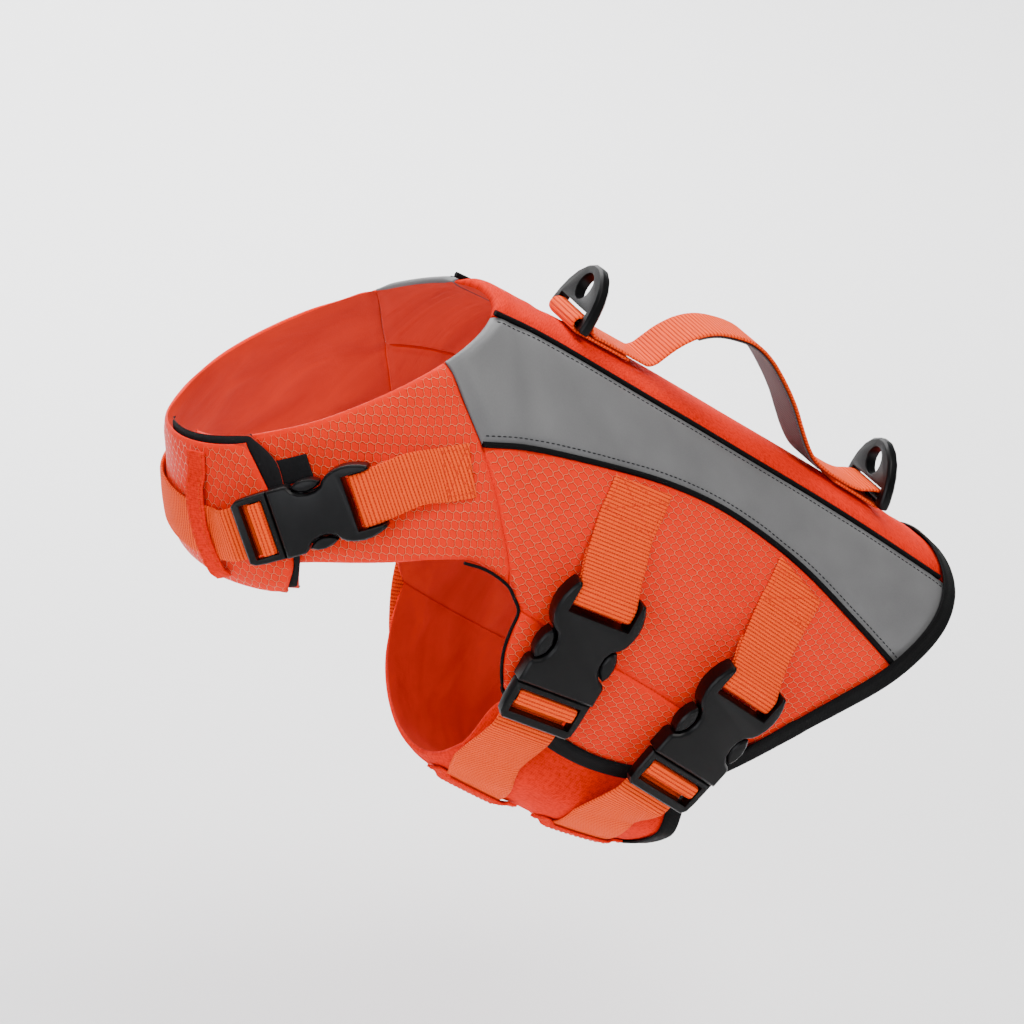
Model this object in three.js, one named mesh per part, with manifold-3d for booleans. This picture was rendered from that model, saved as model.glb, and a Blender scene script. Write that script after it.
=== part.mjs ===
import * as THREE from 'three';
import { mergeVertices } from 'three/addons/utils/BufferGeometryUtils.js';
import Module from 'manifold-3d';

// Dog life jacket, worn and buckled. All sizes are in millimetres.
// Garment frame: X runs along the back towards the tail, Y to the right side, Z out of the back.
// The whole garment is then tipped by SPINE_TILT, as on a sitting dog.

const wasm = await Module();
wasm.setup();

const SPINE_TILT = 36.3;
const BACK_POINT_X = 135;

const PANEL_WALL = 6;
const LOWER_WALL = 4;
const BELLY_WALL = 5;
const COLLAR_WALL = 5;
const SEAM_GAP = 0.5;
const PIPING_RADIUS = 1.5;
const PIPING_GAP = 0.65;
const SEAM_DIP = 1.2;
const SEAM_BAND = 6;
const BOUND_TOP = -1.2;
const BOUND_WALL = 3;
const BINDING_LAP = 8;
const BINDING_CLOTH = 1;
const BINDING_GAP = 0.7;
const CLEAR = 0.35;

const WEB = 1.5;
const WEB_REST = 0.5;
const SIDE_WEB_WIDTH = 30;
const COLLAR_WEB_WIDTH = 23.4;
const KEEPER_WIDTH = 12;

const SPINE_HALF_NECK = 27;
const SPINE_HALF_BACK = 33.5;

const FLAP_RISE = 2.4;
const FLAP_CLOTH = 3;
const FLAP_SLACK = 0.4;
const FACING_CLOTH = 1.4;
const FACING_GAP = 0.7;
const UNDERLAP_DROP = 4.6;
const BELLY_TUCK = 8.2;

const SIDE_BUCKLE_LIFT = 6.4;
const COLLAR_BUCKLE_LIFT = 7.4;
const BUCKLE_HALF_THICK = 5;
const PLUG_HALF_THICK = 3;
const COLLAR_BUCKLE_SCALE = 0.88;
const COLLAR_BUCKLE_WIDE = 0.78;

const RING_FRONT_X = 36.5;
const RING_REAR_X = 218.5;
const RING_REAR_LEAN = 15;
const RING_AXIS_HEIGHT = 4.8;
const RING_HALF_THICK = 2.75;
const RING_BAR_RADIUS = 2.1;

// Cross-sections of the worn form, one for each whole step of u from the neck edge to behind the hem:
// the back point, the belly point, the half width and the fullness of the oval between them.
const SECTIONS = [
  { backX: -5, backZ: 0, bellyX: -96, bellyZ: -125.5, half: 59, full: 2.1 },
  { backX: 32, backZ: 2, bellyX: -52, bellyZ: -172, half: 76, full: 2.15 },
  { backX: 80, backZ: 4, bellyX: 25, bellyZ: -196, half: 84, full: 2.2 },
  { backX: 135, backZ: 5, bellyX: 110, bellyZ: -202, half: 84, full: 2.2 },
  { backX: 200, backZ: 6, bellyX: 190, bellyZ: -194, half: 79, full: 2.2 },
  { backX: 282, backZ: 5, bellyX: 272, bellyZ: -166, half: 68, full: 2.2 },
];

// Rough millimetres for one step of u and one degree round the form, to space points evenly.
const MM_PER_U = 50;
const MM_PER_DEGREE = 1.5;

const rad = THREE.MathUtils.degToRad;

function sectionValue(column, u) {
  const last = SECTIONS.length - 1;
  const i = Math.min(Math.max(Math.floor(u), 0), last - 1);
  const f = u - i;
  const slope = (k) => {
    const before = Math.max(k - 1, 0);
    const after = Math.min(k + 1, last);
    return (SECTIONS[after][column] - SECTIONS[before][column]) / (after - before);
  };
  const a = SECTIONS[i][column];
  const b = SECTIONS[i + 1][column];
  const f2 = f * f;
  const f3 = f2 * f;
  return (2 * f3 - 3 * f2 + 1) * a + (f3 - 2 * f2 + f) * slope(i)
    + (3 * f2 - 2 * f3) * b + (f3 - f2) * slope(i + 1);
}

// A point of the worn form. The angle is 0 on the back, 90 on the left side and 180 on the belly.
function bodyPoint(u, angle) {
  const backX = sectionValue('backX', u);
  const backZ = sectionValue('backZ', u);
  const bellyX = sectionValue('bellyX', u);
  const bellyZ = sectionValue('bellyZ', u);
  const half = sectionValue('half', u);
  const power = 2 / sectionValue('full', u);
  const c = Math.cos(rad(angle));
  const s = Math.sin(rad(angle));
  const up = Math.sign(c) * Math.abs(c) ** power;
  const out = Math.sign(s) * Math.abs(s) ** power;
  return new THREE.Vector3(
    (backX + bellyX) / 2 + (backX - bellyX) / 2 * up,
    -half * out,
    (backZ + bellyZ) / 2 + (backZ - bellyZ) / 2 * up,
  );
}

const STEP_U = 0.02;
const STEP_ANGLE = 1;

function bodySlopes(u, angle) {
  const alongU = bodyPoint(u + STEP_U, angle).sub(bodyPoint(u - STEP_U, angle)).divideScalar(2 * STEP_U);
  const alongAngle = bodyPoint(u, angle + STEP_ANGLE)
    .sub(bodyPoint(u, angle - STEP_ANGLE)).divideScalar(2 * STEP_ANGLE);
  return { alongU, alongAngle };
}

function bodyNormal(u, angle) {
  const { alongU, alongAngle } = bodySlopes(u, angle);
  return alongAngle.cross(alongU).normalize();
}

function skin(u, angle, out = 0) {
  return bodyPoint(u, angle).addScaledVector(bodyNormal(u, angle), out);
}

// Moves a place on the form by a vector that lies along its surface.
function glide(place, vector) {
  const { alongU, alongAngle } = bodySlopes(place.u, place.angle);
  const uu = alongU.dot(alongU);
  const ua = alongU.dot(alongAngle);
  const aa = alongAngle.dot(alongAngle);
  const vu = vector.dot(alongU);
  const va = vector.dot(alongAngle);
  const det = uu * aa - ua * ua;
  return {
    u: place.u + (vu * aa - va * ua) / det,
    angle: place.angle + (va * uu - vu * ua) / det,
  };
}

// A smooth line on the form through a few places, read by the share of its length.
function line(places) {
  const points = places.map((p) => new THREE.Vector3(p.u * MM_PER_U, p.angle * MM_PER_DEGREE, 0));
  const curve = new THREE.CatmullRomCurve3(points, false, 'centripetal');
  return (share) => {
    const p = curve.getPointAt(Math.min(Math.max(share, 0), 1));
    return { u: p.x / MM_PER_U, angle: p.y / MM_PER_DEGREE };
  };
}

// Two lines that meet at a corner, which falls at the given share.
function cornered(first, second, corner) {
  return (share) => (share < corner ? first(share / corner) : second((share - corner) / (1 - corner)));
}

function mirrored(path) {
  return (share) => {
    const place = path(share);
    return { u: place.u, angle: 360 - place.angle };
  };
}

const jacket = new THREE.Group();

const cloth = {
  ripstop: new THREE.MeshStandardMaterial({ color: 0xf04a1e, roughness: 0.6, metalness: 0 }),
  plain: new THREE.MeshStandardMaterial({ color: 0xee4a22, roughness: 0.75, metalness: 0 }),
  webbing: new THREE.MeshStandardMaterial({ color: 0xf2693c, roughness: 0.7, metalness: 0 }),
  grey: new THREE.MeshStandardMaterial({ color: 0x858585, roughness: 0.5, metalness: 0.1 }),
  trim: new THREE.MeshStandardMaterial({ color: 0x17171a, roughness: 0.7, metalness: 0 }),
  facing: new THREE.MeshStandardMaterial({ color: 0x1c1c1f, roughness: 0.8, metalness: 0 }),
  lining: new THREE.MeshStandardMaterial({ color: 0x77777a, roughness: 0.7, metalness: 0 }),
  plastic: new THREE.MeshStandardMaterial({ color: 0x1f2022, roughness: 0.4, metalness: 0 }),
};

function signedVolume(positions, index) {
  let sum = 0;
  const a = new THREE.Vector3();
  const b = new THREE.Vector3();
  const c = new THREE.Vector3();
  for (let i = 0; i < index.length; i += 3) {
    a.fromArray(positions, index[i] * 3);
    b.fromArray(positions, index[i + 1] * 3);
    c.fromArray(positions, index[i + 2] * 3);
    sum += a.dot(b.cross(c));
  }
  return sum / 6;
}

// Adds a closed body made of points and quads, turned so that its faces point out.
function addBody(name, material, points, quads) {
  const positions = points.flatMap((p) => [p.x, p.y, p.z]);
  const index = quads.flatMap(([a, b, c, d]) => [a, b, c, a, c, d]);
  if (signedVolume(positions, index) < 0) {
    index.reverse();
  }
  const geometry = new THREE.BufferGeometry();
  geometry.setAttribute('position', new THREE.Float32BufferAttribute(positions, 3));
  geometry.setIndex(index);
  geometry.computeVertexNormals();
  const mesh = new THREE.Mesh(geometry, material);
  mesh.name = name;
  jacket.add(mesh);
  return mesh;
}

// Closes a grid of outer points and a grid of inner points, rows by columns, into one wall.
function addWall(name, material, outer, inner) {
  const rows = outer.length;
  const columns = outer[0].length;
  const points = [...outer.flat(), ...inner.flat()];
  const at = (layer, i, j) => layer * rows * columns + i * columns + j;
  const quads = [];
  for (let i = 0; i < rows - 1; i += 1) {
    for (let j = 0; j < columns - 1; j += 1) {
      quads.push([at(0, i, j), at(0, i, j + 1), at(0, i + 1, j + 1), at(0, i + 1, j)]);
      quads.push([at(1, i, j), at(1, i + 1, j), at(1, i + 1, j + 1), at(1, i, j + 1)]);
    }
  }
  for (let i = 0; i < rows - 1; i += 1) {
    const last = columns - 1;
    quads.push([at(0, i, 0), at(0, i + 1, 0), at(1, i + 1, 0), at(1, i, 0)]);
    quads.push([at(0, i + 1, last), at(0, i, last), at(1, i, last), at(1, i + 1, last)]);
  }
  for (let j = 0; j < columns - 1; j += 1) {
    const last = rows - 1;
    quads.push([at(0, 0, j + 1), at(0, 0, j), at(1, 0, j), at(1, 0, j + 1)]);
    quads.push([at(0, last, j), at(0, last, j + 1), at(1, last, j + 1), at(1, last, j)]);
  }
  return addBody(name, material, points, quads);
}

// The shares at which a panel's grid is cut: a narrow band at each edge and even steps between.
function cuts(count, length, firstBand, lastBand, corner) {
  const first = firstBand / length;
  const last = 1 - lastBand / length;
  const shares = [0];
  for (let k = 0; k < count; k += 1) {
    shares.push(first + (last - first) * k / (count - 1));
  }
  shares.push(1);
  if (corner) {
    const off = (k) => Math.abs(shares[k] - corner);
    const nearest = shares.reduce((best, s, k) => (off(k) < off(best) ? k : best), 0);
    shares[nearest] = corner;
  }
  return shares;
}

function lengthOf(place, from, to) {
  const steps = 12;
  let sum = 0;
  for (let k = 0; k < steps; k += 1) {
    sum += place(from + (to - from) * k / steps).distanceTo(place(from + (to - from) * (k + 1) / steps));
  }
  return sum;
}

// A padded panel between four lines on the form. top and bottom run along s, left and right along t.
// trim is how far the cloth stops short of each line; bound edges are squeezed thin for the binding.
function panel(name, material, shape) {
  const { top, bottom, left, right, columns, rows, wall, trim, bound = [], corner, rise } = shape;
  const place = (s, t) => {
    const a = top(s);
    const b = bottom(s);
    const c = left(t);
    const d = right(t);
    const mix = (key) => (1 - t) * a[key] + t * b[key] + (1 - s) * c[key] + s * d[key]
      - (1 - s) * (1 - t) * top(0)[key] - s * (1 - t) * top(1)[key]
      - (1 - s) * t * bottom(0)[key] - s * t * bottom(1)[key];
    return { u: mix('u'), angle: mix('angle') };
  };
  const point = (s, t) => {
    const p = place(s, t);
    return bodyPoint(p.u, p.angle);
  };
  const band = (edge) => (bound.includes(edge) ? BINDING_LAP + 1 : SEAM_BAND);
  const lengthS = lengthOf((s) => point(s, 0.5), 0, 1);
  const lengthT = lengthOf((t) => point(0.5, t), 0, 1);
  const sCuts = cuts(columns, lengthS, band('left'), band('right'), corner);
  const tCuts = cuts(rows, lengthT, band('top'), band('bottom'));
  const grid = sCuts.map((s) => tCuts.map((t) => place(s, t)));
  const lastS = sCuts.length - 1;
  const lastT = tCuts.length - 1;
  const trimOf = (edge, share) => (typeof trim[edge] === 'function' ? trim[edge](share) : trim[edge]);
  const shorten = (p, towards, amount) => {
    const distance = bodyPoint(p.u, p.angle).distanceTo(bodyPoint(towards.u, towards.angle));
    const f = amount / distance;
    return { u: p.u + (towards.u - p.u) * f, angle: p.angle + (towards.angle - p.angle) * f };
  };
  for (let j = 0; j <= lastT; j += 1) {
    grid[0][j] = shorten(grid[0][j], grid[1][j], trimOf('left', tCuts[j]));
    grid[lastS][j] = shorten(grid[lastS][j], grid[lastS - 1][j], trimOf('right', tCuts[j]));
  }
  for (let i = 0; i <= lastS; i += 1) {
    grid[i][0] = shorten(grid[i][0], grid[i][1], trimOf('top', sCuts[i]));
    grid[i][lastT] = shorten(grid[i][lastT], grid[i][lastT - 1], trimOf('bottom', sCuts[i]));
  }
  const bandOf = BINDING_LAP + 1;
  if (bound.includes('bottom')) {
    grid.forEach((row) => row.splice(lastT - 1, 1, shorten(row[lastT], row[lastT - 2], bandOf)));
  }
  if (bound.includes('right')) {
    grid[lastS - 1] = grid[lastS].map((p, j) => shorten(p, grid[lastS - 2][j], bandOf));
  }
  const edgesAt = (i, j) => {
    const found = [];
    if (i === 0) found.push('left');
    if (i === lastS) found.push('right');
    if (j === 0) found.push('top');
    if (j === lastT) found.push('bottom');
    return found;
  };
  const outer = grid.map((line_) => line_.map(() => null));
  const inner = grid.map((line_) => line_.map(() => null));
  for (let i = 0; i <= lastS; i += 1) {
    for (let j = 0; j <= lastT; j += 1) {
      const { u, angle } = grid[i][j];
      const lift = rise ? rise(u, angle) : 0;
      const thick = typeof wall === 'function' ? wall(u, angle) : wall;
      const edges = edgesAt(i, j);
      let high = lift;
      let low = lift - thick;
      if (edges.some((edge) => bound.includes(edge))) {
        high = lift + BOUND_TOP;
        low = high - BOUND_WALL;
      } else if (edges.length > 0) {
        high = lift - Math.min(SEAM_DIP, thick / 4);
      }
      outer[i][j] = skin(u, angle, high);
      inner[i][j] = skin(u, angle, low);
    }
  }
  addWall(name, material, outer, inner);
  return { right: grid[lastS], bottom: grid.map((row) => row[lastT]) };
}

// The frame of a path on the form: travel direction, out of the surface, and across.
function pathFrame(path, share) {
  const step = 0.004;
  const p = path(share);
  const ahead = path(Math.min(share + step, 1));
  const behind = path(Math.max(share - step, 0));
  const travel = bodyPoint(ahead.u, ahead.angle).sub(bodyPoint(behind.u, behind.angle)).normalize();
  const normal = bodyNormal(p.u, p.angle);
  const across = travel.clone().cross(normal).normalize();
  return { place: p, travel, normal, across };
}

// Edge tape folded over a bound edge, through the edge's own points, so that the two bend alike:
// a U section of outer lip, web and inner lip. away is 1 where the open side lies across the
// travel and -1 where it lies the other way.
function addBinding(name, places, away, wallAt, rise = () => 0) {
  const stations = places.length - 1;
  const ratio = BINDING_LAP / (BINDING_LAP + 1);
  const rings = places.map((place, k) => {
    const before = places[Math.max(k - 1, 0)];
    const after = places[Math.min(k + 1, stations)];
    const travel = bodyPoint(after.u, after.angle).sub(bodyPoint(before.u, before.angle)).normalize();
    const across = travel.cross(bodyNormal(place.u, place.angle)).normalize();
    const at = (reach, out) => {
      const p = glide(place, across.clone().multiplyScalar(away * reach));
      return skin(p.u, p.angle, out + rise(p.u, p.angle));
    };
    const topEdge = BOUND_TOP + BINDING_GAP;
    const topLap = BOUND_TOP * (1 - ratio) + BINDING_GAP;
    const lowEdge = BOUND_TOP - BOUND_WALL - BINDING_GAP;
    const lowLap = (BOUND_TOP - BOUND_WALL) * (1 - ratio) - wallAt(place) * ratio - BINDING_GAP;
    return [
      at(-BINDING_LAP, topLap),
      at(-BINDING_LAP, topLap + BINDING_CLOTH),
      at(BINDING_GAP + BINDING_CLOTH, topEdge + BINDING_CLOTH),
      at(BINDING_GAP + BINDING_CLOTH, lowEdge - BINDING_CLOTH),
      at(-BINDING_LAP, lowLap - BINDING_CLOTH),
      at(-BINDING_LAP, lowLap),
      at(BINDING_GAP, lowEdge),
      at(BINDING_GAP, topEdge),
    ];
  });
  const points = rings.flat();
  const sides = 8;
  const quads = [];
  for (let k = 0; k < stations; k += 1) {
    for (let i = 0; i < sides; i += 1) {
      const next = (i + 1) % sides;
      quads.push([k * sides + i, k * sides + next, (k + 1) * sides + next, (k + 1) * sides + i]);
    }
  }
  const capAt = (k, flip) => {
    const b = k * sides;
    const faces = [[b, b + 1, b + 2, b + 7], [b + 2, b + 3, b + 6, b + 7], [b + 3, b + 4, b + 5, b + 6]];
    faces.forEach((f) => quads.push(flip ? f.slice().reverse() : f));
  };
  capAt(0, true);
  capAt(stations, false);
  return addBody(name, cloth.trim, points, quads);
}

// Piping: a round cord in the seam, standing a little proud of the panels.
function addPiping(name, path, steps, from, to, radius = PIPING_RADIUS, out = -SEAM_DIP / 2) {
  const points = [];
  for (let k = 0; k <= steps; k += 1) {
    const p = path(from + (to - from) * k / steps);
    points.push(skin(p.u, p.angle, out));
  }
  const round = new THREE.Shape();
  round.absarc(0, 0, radius, 0, 2 * Math.PI);
  const geometry = new THREE.ExtrudeGeometry(round, {
    steps,
    curveSegments: 3,
    bevelEnabled: false,
    extrudePath: new THREE.CatmullRomCurve3(points),
  });
  return addGeometry(name, cloth.trim, geometry);
}

function weld(geometry) {
  const bare = geometry.clone();
  bare.deleteAttribute('normal');
  bare.deleteAttribute('uv');
  return mergeVertices(bare, 1e-4);
}

function addGeometry(name, material, geometry, parent = jacket) {
  const welded = weld(geometry);
  welded.computeVertexNormals();
  const mesh = new THREE.Mesh(welded, material);
  mesh.name = name;
  parent.add(mesh);
  return mesh;
}

// Webbing as rows of points: each row has its underside and its upper side across the width.
function addWebbing(name, material, rows) {
  return addWall(name, material, rows.map((row) => row.upper), rows.map((row) => row.under));
}

const WEB_ACROSS = [-0.5, 0, 0.5];

function surfaceRow(path, share, width, outAt, thick, slant) {
  const { place, across, travel } = pathFrame(path, share);
  const out = outAt(place);
  const side = across.addScaledVector(travel, slant);
  const spots = WEB_ACROSS.map((k) => glide(place, side.clone().multiplyScalar(k * width)));
  return {
    under: spots.map((p) => skin(p.u, p.angle, out)),
    upper: spots.map((p) => skin(p.u, p.angle, out + thick)),
  };
}

// slant tilts the first row, as where a strap's end lies along a slanting seam.
function surfaceRows(path, count, width, outAt, thick = WEB, slant = 0) {
  const rows = [];
  for (let k = 0; k <= count; k += 1) {
    const share = k / count;
    rows.push(surfaceRow(path, share, width, outAt, thick, slant * (1 - share)));
  }
  return rows;
}

// Rows along a bent middle line that lies in one plane. turn is the side on which the upper face lies.
function bentRows(points, toWorld, acrossWorld, width, turn, thick = WEB) {
  return points.map((p, k) => {
    const before = points[Math.max(k - 1, 0)];
    const after = points[Math.min(k + 1, points.length - 1)];
    const travel = new THREE.Vector2(after[0] - before[0], after[1] - before[1]).normalize();
    const normal = new THREE.Vector2(-travel.y * turn, travel.x * turn);
    const side = (sign) => WEB_ACROSS.map((w) => toWorld(
      p[0] + normal.x * sign * thick / 2,
      p[1] + normal.y * sign * thick / 2,
    ).addScaledVector(acrossWorld, w * width));
    return { under: side(-1), upper: side(1) };
  });
}

const smooth = (from, to, x) => THREE.MathUtils.smoothstep(x, from, to);

// Seam lines of the left side. The right side mirrors them.
const spineAngle = (u) => {
  const half = SPINE_HALF_NECK + (SPINE_HALF_BACK - SPINE_HALF_NECK) * smooth(0.3, 2.2, u);
  const power = sectionValue('full', u) / 2;
  return THREE.MathUtils.radToDeg(Math.asin((half / sectionValue('half', u)) ** power));
};

const HEM = [
  { angle: 0, u: 4.8 },
  { angle: 14, u: 4.81 },
  { angle: 32, u: 4.82 },
  { angle: 47, u: 4.78 },
  { angle: 60, u: 4.69 },
  { angle: 72, u: 4.56 },
  { angle: 84, u: 4.36 },
  { angle: 94, u: 4.17 },
  { angle: 106, u: 3.99 },
];

const HEM_END = 106;
const hemCurve = new THREE.CatmullRomCurve3(HEM.map((p) => new THREE.Vector3(p.angle, p.u * MM_PER_U, 0)));

function hemU(angle) {
  let low = 0;
  let high = 1;
  for (let k = 0; k < 30; k += 1) {
    const middle = (low + high) / 2;
    if (hemCurve.getPoint(middle).x < angle) {
      low = middle;
    } else {
      high = middle;
    }
  }
  return hemCurve.getPoint(low).y / MM_PER_U;
}

function hemBetween(from, to) {
  return (share) => {
    const angle = from + (to - from) * share;
    return { u: hemU(angle), angle };
  };
}

function endOnHem(path, angleGuess) {
  let angle = angleGuess;
  for (let k = 0; k < 8; k += 1) {
    angle = path(hemU(angle));
  }
  return angle;
}

const spineEndAngle = endOnHem(spineAngle, 25);
const spineEndU = hemU(spineEndAngle);
const spineSeam = (share) => {
  const u = spineEndU * share;
  return { u, angle: spineAngle(u) };
};

const COLLAR_TIP = { u: 0.88, angle: 71 };
const SIDE_SEAM_END = 66.8;
const LOWER_SEAM_END = 98.5;
const ARM_CORNER = { u: 1.88, angle: 91.7 };

const sidePipingLine = line([
  COLLAR_TIP,
  { u: 1.15, angle: 63.6 },
  { u: 1.58, angle: 56.4 },
  { u: 2.26, angle: 48.6 },
  { u: 2.8, angle: 46 },
  { u: 3.27, angle: 47.3 },
  { u: 3.7, angle: 51 },
  { u: 4.21, angle: 58.8 },
  { u: hemU(SIDE_SEAM_END), angle: SIDE_SEAM_END },
]);

const shoulderCollarSeam = line([
  { u: 0, angle: 61.5 },
  { u: 0.49, angle: 66.8 },
  COLLAR_TIP,
]);

const princessSeam = line([
  COLLAR_TIP,
  { u: 1.25, angle: 77.6 },
  { u: 1.58, angle: 85 },
  ARM_CORNER,
]);

const COLLAR_TIP_SHARE = 0.42;
const collarBackEdge = cornered(shoulderCollarSeam, princessSeam, COLLAR_TIP_SHARE);

const lowerSeam = line([
  ARM_CORNER,
  { u: 1.95, angle: 92.8 },
  { u: 2.04, angle: 94.3 },
  { u: 2.3, angle: 94.2 },
  { u: 3.09, angle: 94.4 },
  { u: 3.5, angle: 95.8 },
  { u: hemU(LOWER_SEAM_END), angle: LOWER_SEAM_END },
]);

const collarLowerEdge = line([
  ARM_CORNER,
  { u: 1.66, angle: 91.9 },
  { u: 1.55, angle: 93 },
  { u: 1.39, angle: 99.2 },
  { u: 1.24, angle: 108.2 },
  { u: 1.12, angle: 118.7 },
  { u: 1.03, angle: 130 },
  { u: 0.98, angle: 145 },
  { u: 0.96, angle: 172 },
]);

const ARM_FOOT = { u: 2.42, angle: 113 };
const LOWER_CORNER_SHARE = 0.085;
const lowerTop = (share) => lowerSeam(LOWER_CORNER_SHARE + (1 - LOWER_CORNER_SHARE) * share);
const armEdge = line([
  lowerSeam(LOWER_CORNER_SHARE),
  { u: 2.12, angle: 99 },
  { u: 2.2, angle: 104 },
  { u: 2.3, angle: 108.6 },
  ARM_FOOT,
]);

const leftBottomEdge = line([
  ARM_FOOT,
  { u: 2.65, angle: 118 },
  { u: 2.93, angle: 120.6 },
  { u: 3.2, angle: 121 },
  { u: 3.45, angle: 119.2 },
  { u: 3.68, angle: 115.6 },
  { u: 3.85, angle: 111 },
  { u: hemU(HEM_END), angle: HEM_END },
]);

const BELLY_SEAM = 118.5;
const RIGHT_ARM_FOOT = { u: 2.55, angle: BELLY_SEAM };
const BELLY_REAR_U = 4.05;
const rightArmEdge = line([
  lowerSeam(LOWER_CORNER_SHARE),
  { u: 2.12, angle: 99 },
  { u: 2.2, angle: 104 },
  { u: 2.3, angle: 108.6 },
  { u: 2.42, angle: 113.4 },
  RIGHT_ARM_FOOT,
]);
const rightHemTail = line([
  { u: hemU(LOWER_SEAM_END), angle: LOWER_SEAM_END },
  { u: 4.02, angle: 104 },
  { u: 4.01, angle: 111 },
  { u: BELLY_REAR_U, angle: BELLY_SEAM },
]);
const bellySeam = line([RIGHT_ARM_FOOT, { u: BELLY_REAR_U, angle: BELLY_SEAM }]);

const half = SEAM_GAP / 2;
const pipingTrim = PIPING_RADIUS + PIPING_GAP;

const spineEdges = panel('spine_panel', cloth.plain, {
  top: mirrored(spineSeam),
  bottom: (share) => ({ u: spineSeam(share).u, angle: 360 + spineSeam(share).angle }),
  left: (share) => ({ u: 0, angle: 360 + spineAngle(0) * (2 * share - 1) }),
  right: (share) => {
    const angle = spineEndAngle * (2 * share - 1);
    return { u: hemU(Math.abs(angle)), angle: 360 + angle };
  },
  columns: 15,
  rows: 5,
  wall: PANEL_WALL,
  trim: { top: pipingTrim, bottom: pipingTrim, left: 0, right: 0 },
  bound: ['right'],
});

const SHOULDER_CORNER = 0.22;

const [leftEdges, rightEdges] = [
  { side: 'left', turn: (path) => path },
  { side: 'right', turn: mirrored },
].map(({ side, turn }) => {
  const shoulder = panel(`shoulder_panel_${side}`, cloth.grey, {
    top: turn(spineSeam),
    bottom: turn(cornered(shoulderCollarSeam, sidePipingLine, SHOULDER_CORNER)),
    left: turn(line([{ u: 0, angle: spineAngle(0) }, { u: 0, angle: 61.5 }])),
    right: turn(hemBetween(spineEndAngle, SIDE_SEAM_END)),
    columns: 15,
    rows: 3,
    wall: PANEL_WALL,
    trim: {
      top: pipingTrim,
      bottom: (share) => (share < SHOULDER_CORNER - 0.01 ? half : pipingTrim),
      left: 0,
      right: 0,
    },
    bound: ['right'],
    corner: SHOULDER_CORNER,
  });
  const flank = panel(`side_panel_${side}`, cloth.ripstop, {
    top: turn(sidePipingLine),
    bottom: turn(lowerSeam),
    left: turn(princessSeam),
    right: turn(hemBetween(SIDE_SEAM_END, LOWER_SEAM_END)),
    columns: 13,
    rows: 6,
    wall: PANEL_WALL,
    trim: { top: pipingTrim, bottom: half, left: half, right: 0 },
    bound: ['right'],
  });
  return { shoulder, flank };
});

const lowerLeftEdges = panel('lower_side_left', cloth.plain, {
  top: lowerTop,
  bottom: leftBottomEdge,
  left: armEdge,
  right: hemBetween(LOWER_SEAM_END, HEM_END),
  columns: 11,
  rows: 2,
  wall: LOWER_WALL,
  trim: { top: half, bottom: 0, left: 0, right: 0 },
  bound: ['bottom', 'right'],
});

const lowerRightEdges = panel('lower_side_right', cloth.plain, {
  top: mirrored(lowerTop),
  bottom: mirrored(bellySeam),
  left: mirrored(rightArmEdge),
  right: mirrored(rightHemTail),
  columns: 11,
  rows: 2,
  wall: LOWER_WALL,
  trim: { top: half, bottom: half, left: 0, right: 0 },
  bound: ['right'],
});

// The left collar dips under the flap towards the front.
const UNDERLAP_FROM = 102;
const UNDERLAP_TO = 127;
const leftCollarRise = (u, angle) => -UNDERLAP_DROP * smooth(UNDERLAP_FROM, UNDERLAP_TO, angle);
const COLLAR_LEFT_END = 172;

panel('collar_left', cloth.ripstop, {
  top: line([{ u: 0, angle: 61.5 }, { u: 0, angle: 110 }, { u: 0.02, angle: COLLAR_LEFT_END }]),
  bottom: collarLowerEdge,
  left: collarBackEdge,
  right: line([{ u: 0.02, angle: COLLAR_LEFT_END }, { u: 0.96, angle: COLLAR_LEFT_END }]),
  columns: 13,
  rows: 5,
  wall: COLLAR_WALL,
  trim: { top: 0, bottom: 0, left: half, right: 0 },
  rise: leftCollarRise,
});

// The right collar runs on round the front as the flap. Angles over 180 are on the right side.
const FLAP_FROM = 215;
const FLAP_TO = 185;
const flapShare = (angle) => 1 - smooth(FLAP_TO, FLAP_FROM, angle);
const flapRise = (u, angle) => FLAP_RISE * flapShare(angle);
const flapWall = (u, angle) => THREE.MathUtils.lerp(COLLAR_WALL, FLAP_CLOTH, flapShare(angle));

const flapEnd = line([
  { u: 0.03, angle: 134.5 },
  { u: 0.24, angle: 131.5 },
  { u: 0.5, angle: 128.6 },
  { u: 0.93, angle: 128.3 },
  { u: 1.16, angle: 136.5 },
]);
const flapLower = line([
  { u: 1.16, angle: 136.5 },
  { u: 1.1, angle: 145 },
  { u: 1.02, angle: 157 },
  { u: 0.96, angle: 170 },
  { u: 0.97, angle: 195 },
  { u: 1.02, angle: 228 },
  { u: 1.12, angle: 241.3 },
  { u: 1.24, angle: 251.8 },
  { u: 1.39, angle: 260.8 },
  { u: 1.55, angle: 267 },
  { u: 1.66, angle: 268.1 },
  { u: ARM_CORNER.u, angle: 360 - ARM_CORNER.angle },
]);

panel('collar_right', cloth.ripstop, {
  top: line([
    { u: 0.03, angle: 134.5 },
    { u: 0.01, angle: 160 },
    { u: 0, angle: 200 },
    { u: 0, angle: 298.5 },
  ]),
  bottom: flapLower,
  left: flapEnd,
  right: mirrored(collarBackEdge),
  columns: 18,
  rows: 5,
  wall: flapWall,
  trim: { top: 0, bottom: 0, left: 0, right: half },
  rise: flapRise,
});

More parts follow.
